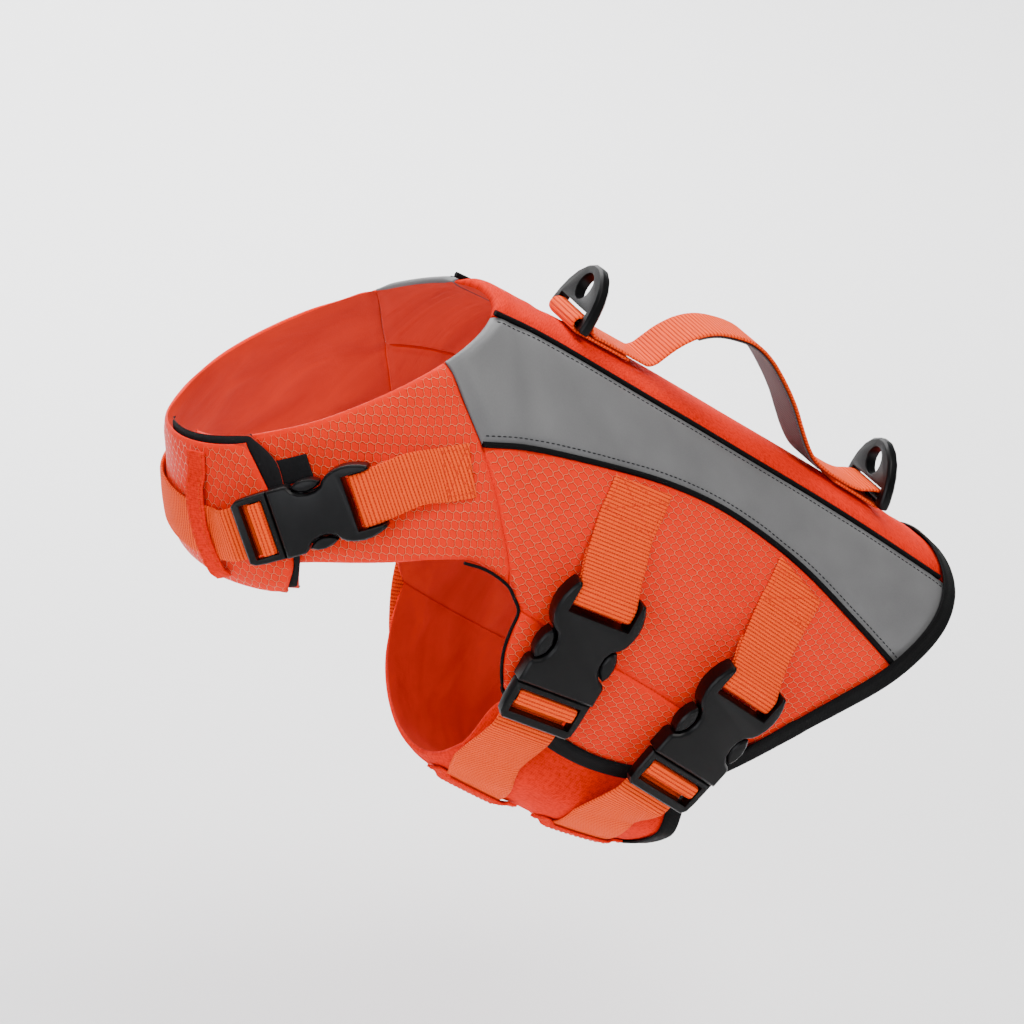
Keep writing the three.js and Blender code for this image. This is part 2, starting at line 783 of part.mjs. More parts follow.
// Black facing under the flap. It shows past the orange cloth along the top and at the end.
const FACING_END = 184;
panel('flap_facing', cloth.facing, {
  top: line([{ u: -0.02, angle: 132.5 }, { u: -0.03, angle: 150 }, { u: -0.03, angle: FACING_END }]),
  bottom: line([
    { u: 1.17, angle: 133.2 },
    { u: 1.09, angle: 145 },
    { u: 1, angle: 157 },
    { u: 0.93, angle: FACING_END },
  ]),
  left: line([
    { u: -0.02, angle: 132.5 },
    { u: 0.2, angle: 125.5 },
    { u: 0.42, angle: 124.5 },
    { u: 0.88, angle: 125.6 },
    { u: 1.17, angle: 133.2 },
  ]),
  right: line([{ u: -0.03, angle: FACING_END }, { u: 0.93, angle: FACING_END }]),
  columns: 6,
  rows: 5,
  wall: FACING_CLOTH,
  trim: { top: 0, bottom: 0, left: 0, right: 0 },
  rise: () => FLAP_RISE - FLAP_CLOTH - FACING_GAP,
});

// The belly panel is tucked inside the left lower panel and comes flush further round.
const TUCK_FROM = 123;
const TUCK_TO = 140;
const BELLY_LEFT = 109;
const bellyRise = (u, angle) => -BELLY_TUCK * (1 - smooth(TUCK_FROM, TUCK_TO, angle));
const bellyFront = line([
  { u: 2.62, angle: BELLY_LEFT },
  { u: 2.58, angle: 120 },
  { u: 2.64, angle: 140 },
  { u: 2.72, angle: 165 },
  { u: 2.72, angle: 195 },
  { u: 2.64, angle: 220 },
  { u: RIGHT_ARM_FOOT.u, angle: 360 - BELLY_SEAM },
]);
const bellyRear = line([
  { u: 3.98, angle: BELLY_LEFT },
  { u: 4.05, angle: 123.8 },
  { u: 4.15, angle: 138.5 },
  { u: 4.18, angle: 160 },
  { u: 4.18, angle: 200 },
  { u: 4.13, angle: 222 },
  { u: BELLY_REAR_U, angle: 360 - BELLY_SEAM },
]);

const bellyEdges = panel('belly_panel', cloth.plain, {
  top: line([{ u: 2.62, angle: BELLY_LEFT }, { u: 3.98, angle: BELLY_LEFT }]),
  bottom: mirrored(bellySeam),
  left: bellyFront,
  right: bellyRear,
  columns: 7,
  rows: 14,
  wall: BELLY_WALL,
  trim: { top: 0, bottom: half, left: 0, right: 0 },
  bound: ['right'],
  rise: bellyRise,
});

// Piping in the long seams, stopping short of the hem tape.
const PIPING_STEPS = 22;
const PIPING_END_GAP = BINDING_LAP + 2;
const spineSeamLength = lengthOf((k) => bodyPoint(spineSeam(k).u, spineSeam(k).angle), 0, 1);
const sideSeamLength = lengthOf((k) => bodyPoint(sidePipingLine(k).u, sidePipingLine(k).angle), 0, 1);
const SIDE_PIPING_START = 5;
[
  { side: 'left', turn: (path) => path },
  { side: 'right', turn: mirrored },
].forEach(({ side, turn }) => {
  addPiping(`spine_piping_${side}`, turn(spineSeam), PIPING_STEPS, 0, 1 - PIPING_END_GAP / spineSeamLength);
  addPiping(
    `side_piping_${side}`,
    turn(sidePipingLine),
    PIPING_STEPS,
    SIDE_PIPING_START / sideSeamLength,
    1 - PIPING_END_GAP / sideSeamLength,
  );
});

// Tape over the rear hem: up the left side from the front foot, over the back and down the right side.
const NEAR = 1;
const backwards = (places) => places.slice().reverse();
const turnBack = (places) => places.map((p) => ({ u: p.u, angle: p.angle - 360 }));
const hemPlaces = [
  ...lowerLeftEdges.bottom,
  ...backwards(lowerLeftEdges.right),
  ...backwards(leftEdges.flank.right),
  ...backwards(leftEdges.shoulder.right),
  ...backwards(turnBack(spineEdges.right)),
  ...turnBack(rightEdges.shoulder.right),
  ...turnBack(rightEdges.flank.right),
  ...turnBack(lowerRightEdges.right),
];
const apart = (p, q) => bodyPoint(p.u, p.angle).distanceTo(bodyPoint(q.u, q.angle));
const hemStations = hemPlaces.filter((p, k) => k === 0 || apart(p, hemPlaces[k - 1]) > NEAR);
const RIGHT_END_SHARE = 0.6;
const [beforeLast, last] = hemStations.slice(-2);
last.u = THREE.MathUtils.lerp(beforeLast.u, last.u, RIGHT_END_SHARE);
last.angle = THREE.MathUtils.lerp(beforeLast.angle, last.angle, RIGHT_END_SHARE);
const hemWall = (place) => (Math.abs(place.angle) < LOWER_SEAM_END + 4 ? PANEL_WALL : LOWER_WALL);
addBinding('hem_binding', hemStations, 1, hemWall);
addBinding('belly_binding', bellyEdges.right.slice(0, -1), -1, () => BELLY_WALL, bellyRise);

// Thin black edging round each front leg's opening, from the collar's lower edge to the side's foot.
const EDGING_RADIUS = 1.1;
const EDGING_GAP = 0.7;
const EDGING_DEPTH = -1.8;
const EDGING_STEPS = 16;
const armholeLine = line([
  { u: 1.74, angle: 91.8 },
  ARM_CORNER,
  { u: 1.95, angle: 92.8 },
  lowerSeam(LOWER_CORNER_SHARE),
  { u: 2.12, angle: 99 },
  { u: 2.2, angle: 104 },
  { u: 2.3, angle: 108.6 },
  { u: 2.38, angle: 111.6 },
]);
const edgingLine = (share) => {
  const { place, across } = pathFrame(armholeLine, share);
  return glide(place, across.multiplyScalar(EDGING_RADIUS + EDGING_GAP));
};
addPiping('armhole_edging_left', edgingLine, EDGING_STEPS, 0, 1, EDGING_RADIUS, EDGING_DEPTH);
addPiping('armhole_edging_right', mirrored(edgingLine), EDGING_STEPS, 0, 1, EDGING_RADIUS, EDGING_DEPTH);

// The frame of a buckle: x across, y towards the strap that is sewn on, z out of the cloth.
function buckleFrame(top, foot, scale, lift, wide = scale) {
  const LIFTED = 12;
  const a = skin(top.u, top.angle, LIFTED);
  const b = skin(foot.u, foot.angle, LIFTED);
  const mid = { u: (top.u + foot.u) / 2, angle: (top.angle + foot.angle) / 2 };
  const y = a.clone().sub(b).normalize();
  const n = bodyNormal(mid.u, mid.angle);
  const z = n.clone().addScaledVector(y, -n.dot(y)).normalize();
  const x = y.clone().cross(z);
  const origin = skin(mid.u, mid.angle, lift).addScaledVector(y, -BUCKLE_MIDDLE * scale);
  const group = new THREE.Group();
  group.position.copy(origin);
  group.setRotationFromMatrix(new THREE.Matrix4().makeBasis(x, y, z));
  jacket.add(group);
  const toWorld = (v, w) => origin.clone().addScaledVector(y, v).addScaledVector(z, w);
  return { group, x, y, z, origin, toWorld, scale, wide };
}

function solid(geometry) {
  const welded = weld(geometry);
  return new wasm.Manifold(new wasm.Mesh({
    numProp: 3,
    vertProperties: new Float32Array(welded.getAttribute('position').array),
    triVerts: new Uint32Array(welded.getIndex().array),
  }));
}

function geometryOf(manifold) {
  const mesh = manifold.getMesh();
  const geometry = new THREE.BufferGeometry();
  geometry.setAttribute('position', new THREE.Float32BufferAttribute(mesh.vertProperties, 3));
  geometry.setIndex(new THREE.Uint32BufferAttribute(mesh.triVerts, 1));
  return geometry;
}

function plate(outline, halfThick, bevel, segments = 3) {
  const geometry = new THREE.ExtrudeGeometry(outline, {
    depth: 2 * (halfThick - bevel),
    curveSegments: segments,
    bevelEnabled: bevel > 0,
    bevelThickness: bevel,
    bevelSize: bevel,
    bevelOffset: -bevel,
    bevelSegments: 1,
  });
  geometry.translate(0, 0, -(halfThick - bevel));
  return solid(geometry);
}

function block(x, y0, y1, z0, z1) {
  const geometry = new THREE.BoxGeometry(2 * x, y1 - y0, z1 - z0);
  geometry.translate(0, (y0 + y1) / 2, (z0 + z1) / 2);
  return solid(geometry);
}

// An outline that is the same on both sides of the y axis, from the right-hand half.
function evenOutline(halfPoints) {
  const shape = new THREE.Shape();
  shape.moveTo(halfPoints[0][0], halfPoints[0][1]);
  halfPoints.slice(1).forEach(([x, y]) => shape.lineTo(x, y));
  halfPoints.slice().reverse().forEach(([x, y]) => shape.lineTo(-x, y));
  shape.closePath();
  return shape;
}

// Side-release buckle, 30 mm size. All y values are measured from the seam between its halves.
const BUCKLE_MIDDLE = 14;
const SLOT_HALF = 15.8;
const SEAT_SLOT = [38, 42.6];
const SEAT_BAR = [42.6, 46.2];
const BAR_HALF_THICK = 1.6;
const HORN_END = 52;
const MOUTH = 0;
const SOCKET_OUTLINE = [
  [19.5, MOUTH], [19.5, 9.5], [18.4, 11.2], [15.6, 12.6], [13.3, 15.4], [12.3, 19.6], [12.6, 23.6],
  [14.2, 26.6], [17.2, 28.6], [19.2, 31.2], [20.6, 35], [21.3, 39.2], [21, 43.6], [19.6, 48.2], [17.7, HORN_END],
];
const CAVITY_HALF = 15.3;
const CAVITY_HALF_THICK = 2.4;
const CAVITY_END = 30.6;

function socketGeometry() {
  const body = plate(evenOutline(SOCKET_OUTLINE), BUCKLE_HALF_THICK, 1.2);
  return geometryOf(body
    .subtract(block(SLOT_HALF, SEAT_SLOT[0], SEAT_SLOT[1], -9, 9))
    .subtract(block(SLOT_HALF, SEAT_BAR[1], HORN_END + 4, -9, 9))
    .subtract(block(SLOT_HALF, SEAT_BAR[0] - 0.5, SEAT_BAR[1] + 0.5, BAR_HALF_THICK, 9))
    .subtract(block(SLOT_HALF, SEAT_BAR[0] - 0.5, SEAT_BAR[1] + 0.5, -9, -BAR_HALF_THICK))
    .subtract(block(CAVITY_HALF, MOUTH - 2, CAVITY_END, -CAVITY_HALF_THICK, CAVITY_HALF_THICK)));
}

const PLUG_SEAM = -0.5;
const PLUG_OUTLINE = [[19.4, PLUG_SEAM], [19.2, -11.4], [18.6, -16.8], [16.6, -19.2]];
const PLUG_SLOT = [-6.2, -3.4];
const PLUG_BAR = [-9.6, -6.2];
const PLUG_WINDOW = [-15.2, -9.6];
const ARM_HALF_THICK = 1.9;
const BUTTON_HALF_THICK = 3.9;
const ARM_OUTLINE = [
  [7.5, -3.2], [13.6, -3.2], [14.3, 8], [14.5, 12.8], [16.4, 15], [17.4, 20], [16, 25.8], [14.8, 26.2],
  [13.9, 20], [12.2, 13.5], [9.5, 7],
];
const BUTTON_OUTLINE = [
  [17.8, 12.3], [19.5, 15.6], [19.9, 19.6], [19, 23.8], [17, 27], [15.5, 26.4], [14, 23.8], [13.1, 20],
  [13.9, 16.2], [15.9, 13.4],
];

function polygon(points, mirror = 1) {
  const shape = new THREE.Shape();
  points.forEach(([x, y], k) => (k === 0 ? shape.moveTo(mirror * x, y) : shape.lineTo(mirror * x, y)));
  shape.closePath();
  return shape;
}

function plugGeometry() {
  let body = plate(evenOutline(PLUG_OUTLINE), PLUG_HALF_THICK, 0.8)
    .subtract(block(SLOT_HALF, PLUG_WINDOW[0], PLUG_WINDOW[1], -9, 9))
    .subtract(block(SLOT_HALF, PLUG_SLOT[0], PLUG_SLOT[1], -9, 9))
    .subtract(block(SLOT_HALF, PLUG_BAR[0] - 0.5, PLUG_BAR[1] + 0.5, BAR_HALF_THICK, 9))
    .subtract(block(SLOT_HALF, PLUG_BAR[0] - 0.5, PLUG_BAR[1] + 0.5, -9, -BAR_HALF_THICK));
  [1, -1].forEach((side) => {
    body = body.add(plate(polygon(ARM_OUTLINE, side), ARM_HALF_THICK, 0));
    body = body.add(plate(polygon(BUTTON_OUTLINE, side), BUTTON_HALF_THICK, 0.9));
  });
  return geometryOf(body);
}

function addBuckle(name, frame) {
  const socket = socketGeometry();
  const plug = plugGeometry();
  socket.scale(frame.wide, frame.scale, frame.scale);
  plug.scale(frame.wide, frame.scale, frame.scale);
  addGeometry(`${name}_socket`, cloth.plastic, socket, frame.group);
  addGeometry(`${name}_plug`, cloth.plastic, plug, frame.group);
}

// The loop of a sewn strap over the socket's bar, in the buckle's y and z, from the strap's side.
// The strap comes down from the panel to the bar, turns round it and ends under itself.
const LOOP_GAP = CLEAR + WEB / 2;
const LAYER_STEP = WEB + 0.45;
const STRAP_DESCENT = [[19.8, -13.3], [11.8, -8.4], [5.6, -3.3], [2.4, -0.6]];
function socketLoop(scale) {
  const low = SEAT_BAR[0] * scale - LOOP_GAP;
  const high = SEAT_BAR[1] * scale;
  const deep = BAR_HALF_THICK * scale + LOOP_GAP;
  return [
    ...STRAP_DESCENT.map(([y, z]) => [high + y, deep + z]),
    [high, deep],
    [low + 1.3, deep],
    [low + 0.3, deep - 0.5],
    [low, deep - 1.5],
    [low, -deep + 1.5],
    [low + 0.3, -deep + 0.5],
    [low + 1.3, -deep],
    [high + 2, -deep],
    [high + 6.5, deep - 3.8 - LAYER_STEP - 0.4],
    [high + 11.8, deep - 8.4 - LAYER_STEP - 0.2],
    [high + 16.5, deep - 11.2 - LAYER_STEP - 0.2],
  ];
}

// The turn of an adjustable belt over the plug's middle bar, from the belt's side.
function plugTurn(scale) {
  const low = PLUG_BAR[0] * scale - LOOP_GAP;
  const high = PLUG_BAR[1] * scale + LOOP_GAP;
  const top = BAR_HALF_THICK * scale + LOOP_GAP;
  const under = -PLUG_HALF_THICK * scale - LOOP_GAP;
  return [
    [-27 * scale, under - 1],
    [-23 * scale, under],
    [low, under],
    [high - 1.8, under + 0.3],
    [high - 0.35, under + 1.5],
    [high, under + 3],
    [high, top - 1.1],
    [high - 0.4, top - 0.25],
    [high - 1.3, top],
    [low + 1.3, top],
    [low + 0.4, top - 0.25],
    [low, top - 1.1],
    [low, -1.6],
  ];
}

const frontFrame = buckleFrame({ u: 2.377, angle: 84.4 }, { u: 2.615, angle: 110.1 }, 1, SIDE_BUCKLE_LIFT);
const rearFrame = buckleFrame({ u: 3.631, angle: 81.8 }, { u: 3.619, angle: 116.6 }, 1, SIDE_BUCKLE_LIFT);
const collarFrame = buckleFrame(
  { u: 0.672, angle: 99.7 },
  { u: 0.608, angle: 137.4 },
  COLLAR_BUCKLE_SCALE,
  COLLAR_BUCKLE_LIFT,
  COLLAR_BUCKLE_WIDE,
);
addBuckle('buckle_front', frontFrame);
addBuckle('buckle_rear', rearFrame);
addBuckle('buckle_collar', collarFrame);

// A strap sewn on a panel at its far end, which leaves the panel for the socket's bar.
const STRAP_ROWS = 4;
function addSewnStrap(name, places, frame, width, slant) {
  const rows = surfaceRows(line(places), STRAP_ROWS, width, () => WEB_REST, WEB, slant);
  const loop = bentRows(socketLoop(frame.scale), frame.toWorld, frame.x.clone().negate(), width, -1);
  return addWebbing(name, cloth.webbing, [...rows, ...loop]);
}

addSewnStrap('side_strap_front', [
  { u: 2.115, angle: 53.5 },
  { u: 2.14, angle: 59 },
  { u: 2.17, angle: 65 },
], frontFrame, SIDE_WEB_WIDTH, 0.22);
addSewnStrap('side_strap_rear', [
  { u: 3.63, angle: 54.5 },
  { u: 3.625, angle: 60 },
  { u: 3.618, angle: 65.5 },
], rearFrame, SIDE_WEB_WIDTH, -0.18);
addSewnStrap('collar_strap', [
  { u: 0.97, angle: 79 },
  { u: 0.9, angle: 81.5 },
  { u: 0.84, angle: 84 },
], collarFrame, COLLAR_WEB_WIDTH, -0.3);

// A belt that comes round the form and turns over the plug's middle bar.
function addBelt(name, places, count, frame, width, outAt) {
  const rows = surfaceRows(line(places), count, width, outAt);
  const turn = bentRows(plugTurn(frame.scale), frame.toWorld, frame.x, width, 1);
  return addWebbing(name, cloth.webbing, [...rows, ...turn]);
}

// The belly belts are sewn high on the right side and run under the belly to the left buckles.
// From the right arm's seam to the left side they lie where these places say.
const BELLY_BELT_FRONT = [
  { u: 2.12, angle: 306 },
  { u: 2.32, angle: 290 },
  { u: 2.42, angle: 277 },
  { u: 2.52, angle: 262 },
  { u: 2.66, angle: 246 },
  { u: 2.78, angle: 234 },
  { u: 2.95, angle: 216 },
  { u: 3.07, angle: 196 },
  { u: 3.1, angle: 180 },
  { u: 3.06, angle: 165 },
  { u: 2.96, angle: 151 },
  { u: 2.86, angle: 143 },
  { u: 2.79, angle: 137 },
];
const BELLY_BELT_REAR = [
  { u: 3.62, angle: 305 },
  { u: 3.66, angle: 290 },
  { u: 3.7, angle: 277 },
  { u: 3.68, angle: 262 },
  { u: 3.68, angle: 246 },
  { u: 3.7, angle: 234 },
  { u: 3.76, angle: 216 },
  { u: 3.81, angle: 196 },
  { u: 3.82, angle: 180 },
  { u: 3.8, angle: 165 },
  { u: 3.75, angle: 151 },
  { u: 3.7, angle: 143 },
  { u: 3.66, angle: 137 },
];
const BELLY_STEPS = 24;
addBelt('belly_belt_front', BELLY_BELT_FRONT, BELLY_STEPS, frontFrame, SIDE_WEB_WIDTH, () => WEB_REST);
addBelt('belly_belt_rear', BELLY_BELT_REAR, BELLY_STEPS, rearFrame, SIDE_WEB_WIDTH, () => WEB_REST);

// The collar belt is sewn on the right collar and runs round the front over the flap.
const COLLAR_BELT = [
  { u: 0.97, angle: 281 },
  { u: 0.84, angle: 270 },
  { u: 0.7, angle: 257 },
  { u: 0.64, angle: 240 },
  { u: 0.6, angle: 215 },
  { u: 0.57, angle: 196 },
  { u: 0.57, angle: 180 },
  { u: 0.6, angle: 166 },
  { u: 0.62, angle: 160 },
  { u: 0.645, angle: 151.8 },
];
const flapOut = (place) => WEB_REST + (FLAP_RISE + FLAP_SLACK) * flapShare(place.angle);
addBelt('collar_belt', COLLAR_BELT, 18, collarFrame, COLLAR_WEB_WIDTH, flapOut);

// Keeper loops: short bands sewn at both ends with a belt running under them.
const KEEPER_CLOTH = 1.2;
const KEEPER_OVER = WEB + 1;
const bump = (x, from, full, fade, to) => smooth(from, full, x) * (1 - smooth(fade, to, x));
const keeperOut = (place) => flapOut(place) + KEEPER_OVER * bump(place.u, 0.2, 0.33, 0.9, 0.97);
addWebbing('collar_keeper', cloth.webbing, surfaceRows(
  line([{ u: 0.06, angle: 155.5 }, { u: 0.5, angle: 157 }, { u: 0.96, angle: 153.5 }]),
  12,
  KEEPER_WIDTH,
  keeperOut,
  KEEPER_CLOTH,
));

const BELLY_KEEPERS = [
  { name: 'front', u: 3.04 },
  { name: 'rear', u: 3.79 },
];
const KEEPER_ANGLE = 160;
const KEEPER_REACH = 0.275;
const KEEPER_RAMP = 0.05;
BELLY_KEEPERS.forEach(({ name, u }) => {
  const from = u - KEEPER_REACH;
  const to = u + KEEPER_REACH;
  const raised = ({ u: x }) => bump(x, from, from + KEEPER_RAMP, to - KEEPER_RAMP, to);
  const out = (place) => WEB_REST + KEEPER_OVER * raised(place);
  addWebbing(`belly_keeper_${name}`, cloth.webbing, surfaceRows(
    line([{ u: from, angle: KEEPER_ANGLE }, { u: to, angle: KEEPER_ANGLE }]),
    10,
    KEEPER_WIDTH,
    out,
    KEEPER_CLOTH,
  ));
});

// The black tab that comes out from under the flap and lies on the left collar.
const TAB_WIDTH = 11;
const TAB_CLOTH = 0.8;
addWebbing('hook_tab', cloth.facing, surfaceRows(
  line([{ u: 0.3, angle: 131.5 }, { u: 0.31, angle: 114.5 }]),
  8,
  TAB_WIDTH,
  (place) => leftCollarRise(place.u, place.angle) + CLEAR,
  TAB_CLOTH,
));

// Rings: a round eye over a crossbar, a slot for the webbing and a round bar inside the webbing's loop.
const RING_OUTLINE = [[20.4, -2.9], [20.6, 1], [19.6, 7], [17.4, 13], [13.8, 18.6], [8.6, 23], [3, 25.2]];
const RING_EYE_HEIGHT = 14.4;
const RING_EYE_RADIUS = 6.6;
const RING_SLOT_HALF = 15.5;
const RING_SLOT_TOP = 5.9;

function backHeight(x) {
  let low = 0;
  let high = SECTIONS.length - 1;
  for (let k = 0; k < 30; k += 1) {
    const middle = (low + high) / 2;
    if (sectionValue('backX', middle) < x) {
      low = middle;
    } else {
      high = middle;
    }
  }
  return sectionValue('backZ', low);
}

function addRing(name, x, lean) {
  const eye = new THREE.CylinderGeometry(RING_EYE_RADIUS, RING_EYE_RADIUS, 20, 16);
  eye.rotateX(Math.PI / 2);
  eye.translate(0, RING_EYE_HEIGHT, 0);
  const bar = new THREE.CylinderGeometry(RING_BAR_RADIUS, RING_BAR_RADIUS, 2 * RING_SLOT_HALF + 2, 8);
  bar.rotateZ(Math.PI / 2);
  const body = plate(evenOutline(RING_OUTLINE), RING_HALF_THICK, 1.1)
    .subtract(block(RING_SLOT_HALF, -5, RING_SLOT_TOP, -9, 9))
    .subtract(solid(eye))
    .add(solid(bar));
  const mesh = addGeometry(name, cloth.plastic, geometryOf(body));
  mesh.setRotationFromMatrix(new THREE.Matrix4().makeBasis(
    new THREE.Vector3(0, 1, 0),
    new THREE.Vector3(-Math.sin(rad(lean)), 0, Math.cos(rad(lean))),
    new THREE.Vector3(Math.cos(rad(lean)), 0, Math.sin(rad(lean))),
  ));
  mesh.position.set(x, 0, backHeight(x) + RING_AXIS_HEIGHT);
}

addRing('ring_front', RING_FRONT_X, 0);
addRing('ring_rear', RING_REAR_X, RING_REAR_LEAN);

// Handle webbing: it loops round the front ring's bar, lies doubled on the spine, arches up as the
// handle and comes down to loop round the rear ring's bar. Heights are above the spine panel.
const UNDER_LAYER = WEB_REST + WEB / 2;
const TOP_LAYER = UNDER_LAYER + LAYER_STEP;
const onBack = (x, height) => [x, backHeight(x) + height];
const byRing = (ringX, points) => points.map(([dx, dz]) => [
  ringX + dx,
  backHeight(ringX) + RING_AXIS_HEIGHT + dz,
]);
const HANDLE_ARCH = [
  [75.5, 7.3], [78, 9.5], [80.4, 15], [83.2, 21.5], [89, 30], [96.3, 35.8], [106, 39.4], [116, 41],
  [127, 39.2], [140, 33.6], [151.4, 27.2], [161.2, 20.2], [170, 14.2], [177.5, 10.6], [186, 9.3],
];
const archCurve = new THREE.CatmullRomCurve3(HANDLE_ARCH.map(([x, z]) => new THREE.Vector3(x, 0, z)));
const ARCH_ROWS = 22;
const archPoints = (from, to, count) => Array.from({ length: count + 1 }, (_, k) => {
  const p = archCurve.getPoint(from + (to - from) * k / count);
  return [p.x, p.z];
});
const handlePath = [
  onBack(66, UNDER_LAYER),
  onBack(52, UNDER_LAYER),
  onBack(42, UNDER_LAYER),
  ...byRing(RING_FRONT_X, [
    [-1.5, -3.5], [-3.8, -2.6], [-4.8, -0.4], [-4, 1.9], [-1.9, 3.2], [0.6, 3.4], [2.6, 2.6],
    [4.6, 1.2], [6.6, -0.3], [9.2, -1.3],
  ]),
  onBack(50, TOP_LAYER),
  onBack(62, TOP_LAYER),
  onBack(71, TOP_LAYER),
  ...archPoints(0, 1, ARCH_ROWS),
  onBack(200, TOP_LAYER),
  ...byRing(RING_REAR_X, [
    [-12, -0.4], [-7.5, 1.8], [-3.6, 3.2], [0, 3.4], [2.4, 2.5], [3.45, 0.2], [2.95, -2], [1, -3.4],
    [-3, -3.55],
  ]),
  onBack(206, UNDER_LAYER),
  onBack(192, UNDER_LAYER),
];
const inMiddle = (x, z) => new THREE.Vector3(x, 0, z);
const sideways = new THREE.Vector3(0, 1, 0);
addWebbing('handle_webbing', cloth.webbing, bentRows(handlePath, inMiddle, sideways, SIDE_WEB_WIDTH, 1));

// Grey lining on the hand side of the handle.
const LINING_CLOTH = 1;
const LINING_STEP = WEB / 2 + CLEAR + LINING_CLOTH / 2;
const LINING_WIDTH = 28;
const LINING_FROM = 0.2;
const LINING_TO = 0.97;
const liningPath = archPoints(LINING_FROM, LINING_TO, 18).map((p, k, all) => {
  const before = all[Math.max(k - 1, 0)];
  const after = all[Math.min(k + 1, all.length - 1)];
  const travel = new THREE.Vector2(after[0] - before[0], after[1] - before[1]).normalize();
  return [p[0] + travel.y * LINING_STEP, p[1] - travel.x * LINING_STEP];
});
addWebbing('handle_lining', cloth.lining, bentRows(
  liningPath,
  inMiddle,
  sideways,
  LINING_WIDTH,
  1,
  LINING_CLOTH,
));

// The worn garment is tipped, with its origin inside the spine panel where the back carries it.
const held = new THREE.Vector3(BACK_POINT_X, 0, backHeight(BACK_POINT_X) - PANEL_WALL);
jacket.rotation.y = rad(SPINE_TILT);
jacket.position.copy(held.applyEuler(jacket.rotation).negate());
const part = new THREE.Group();
part.add(jacket);

export default part;
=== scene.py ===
import math

import bmesh
import bpy
import numpy as np
from mathutils import Matrix, Vector
from mathutils.bvhtree import BVHTree


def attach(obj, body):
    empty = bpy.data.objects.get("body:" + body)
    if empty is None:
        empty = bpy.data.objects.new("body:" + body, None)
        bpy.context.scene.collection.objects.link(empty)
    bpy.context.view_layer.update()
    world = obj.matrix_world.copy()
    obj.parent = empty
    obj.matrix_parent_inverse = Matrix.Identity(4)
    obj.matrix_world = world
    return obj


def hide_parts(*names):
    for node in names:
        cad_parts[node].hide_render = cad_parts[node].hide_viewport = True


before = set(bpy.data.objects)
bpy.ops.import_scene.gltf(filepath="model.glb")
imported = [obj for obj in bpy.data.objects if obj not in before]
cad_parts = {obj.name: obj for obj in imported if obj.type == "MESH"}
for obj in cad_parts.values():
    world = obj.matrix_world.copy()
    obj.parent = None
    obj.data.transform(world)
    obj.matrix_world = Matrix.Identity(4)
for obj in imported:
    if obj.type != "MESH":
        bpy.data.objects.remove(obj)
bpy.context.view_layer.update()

# ---- Spine panel -----------------------------------------------------------------------------
# The long panel over the backbone, plain-woven orange cloth over foam, open at the neck and
# bound with tape at the tail. It is sewn to the shoulder panels with piping between them.
# All cloth here lies on one worn form, so the form's own sizes come with this first piece.

SPINE_TILT = math.radians(36.3)
PANEL_WALL = 6.0
SPINE_PIPE_TRIM = 0.8
SIDE_PIPE_TRIM = 1.0
BINDING_LAP = 8.0
BOUND_TOP = -1.2
BOUND_WALL = 3.0
SEAM_CREASE = 1.1
SEAM_REACH = 9.0

# Cross-sections of the worn form from the neck edge to behind the hem: back x, z; belly x, z;
# half width and fullness of the oval, all in millimetres.
SECTIONS = np.array([
    (-5, 0, -96, -125.5, 59, 2.1),
    (32, 2, -52, -172, 76, 2.15),
    (80, 4, 25, -196, 84, 2.2),
    (135, 5, 110, -202, 84, 2.2),
    (200, 6, 190, -194, 79, 2.2),
    (282, 5, 272, -166, 68, 2.2),
], float)


def section(u):
    last = len(SECTIONS) - 1
    i = np.clip(np.floor(u).astype(int), 0, last - 1)
    f = (u - i)[..., None]
    def slope(k):
        before = np.maximum(k - 1, 0)
        after = np.minimum(k + 1, last)
        return (SECTIONS[after] - SECTIONS[before]) / (after - before)[..., None]
    f2, f3 = f * f, f * f * f
    return ((2 * f3 - 3 * f2 + 1) * SECTIONS[i] + (f3 - 2 * f2 + f) * slope(i)
            + (3 * f2 - 2 * f3) * SECTIONS[i + 1] + (f3 - f2) * slope(i + 1))


# A point of the form: the angle is 0 on the back, 90 on the left side and 180 on the belly.
def form_point(u, angle):
    u, angle = np.broadcast_arrays(np.asarray(u, float), np.asarray(angle, float))
    back_x, back_z, belly_x, belly_z, half, full = np.moveaxis(section(u), -1, 0)
    c, s = np.cos(np.radians(angle)), np.sin(np.radians(angle))
    up = np.sign(c) * np.abs(c) ** (2 / full)
    out = np.sign(s) * np.abs(s) ** (2 / full)
    return np.stack([
        (back_x + belly_x) / 2 + (back_x - belly_x) / 2 * up,
        -half * out,
        (back_z + belly_z) / 2 + (back_z - belly_z) / 2 * up,
    ], -1)


def form_slopes(u, angle):
    along_u = (form_point(u + 0.02, angle) - form_point(u - 0.02, angle)) / 0.04
    along_angle = (form_point(u, angle + 1) - form_point(u, angle - 1)) / 2
    return along_u, along_angle


def unit(v):
    return v / np.linalg.norm(v, axis=-1, keepdims=True)


def form_normal(u, angle):
    along_u, along_angle = form_slopes(u, angle)
    return unit(np.cross(along_angle, along_u))


def skin(u, angle, out=0.0):
    return form_point(u, angle) + form_normal(u, angle) * np.asarray(out, float)[..., None]


# Moves places on the form by a vector that lies along its surface.
def glide(u, angle, vector):
    a, b = form_slopes(u, angle)
    aa, ab, bb = (a * a).sum(-1), (a * b).sum(-1), (b * b).sum(-1)
    va, vb = (vector * a).sum(-1), (vector * b).sum(-1)
    det = aa * bb - ab * ab
    return u + (va * bb - vb * ab) / det, angle + (vb * aa - va * ab) / det


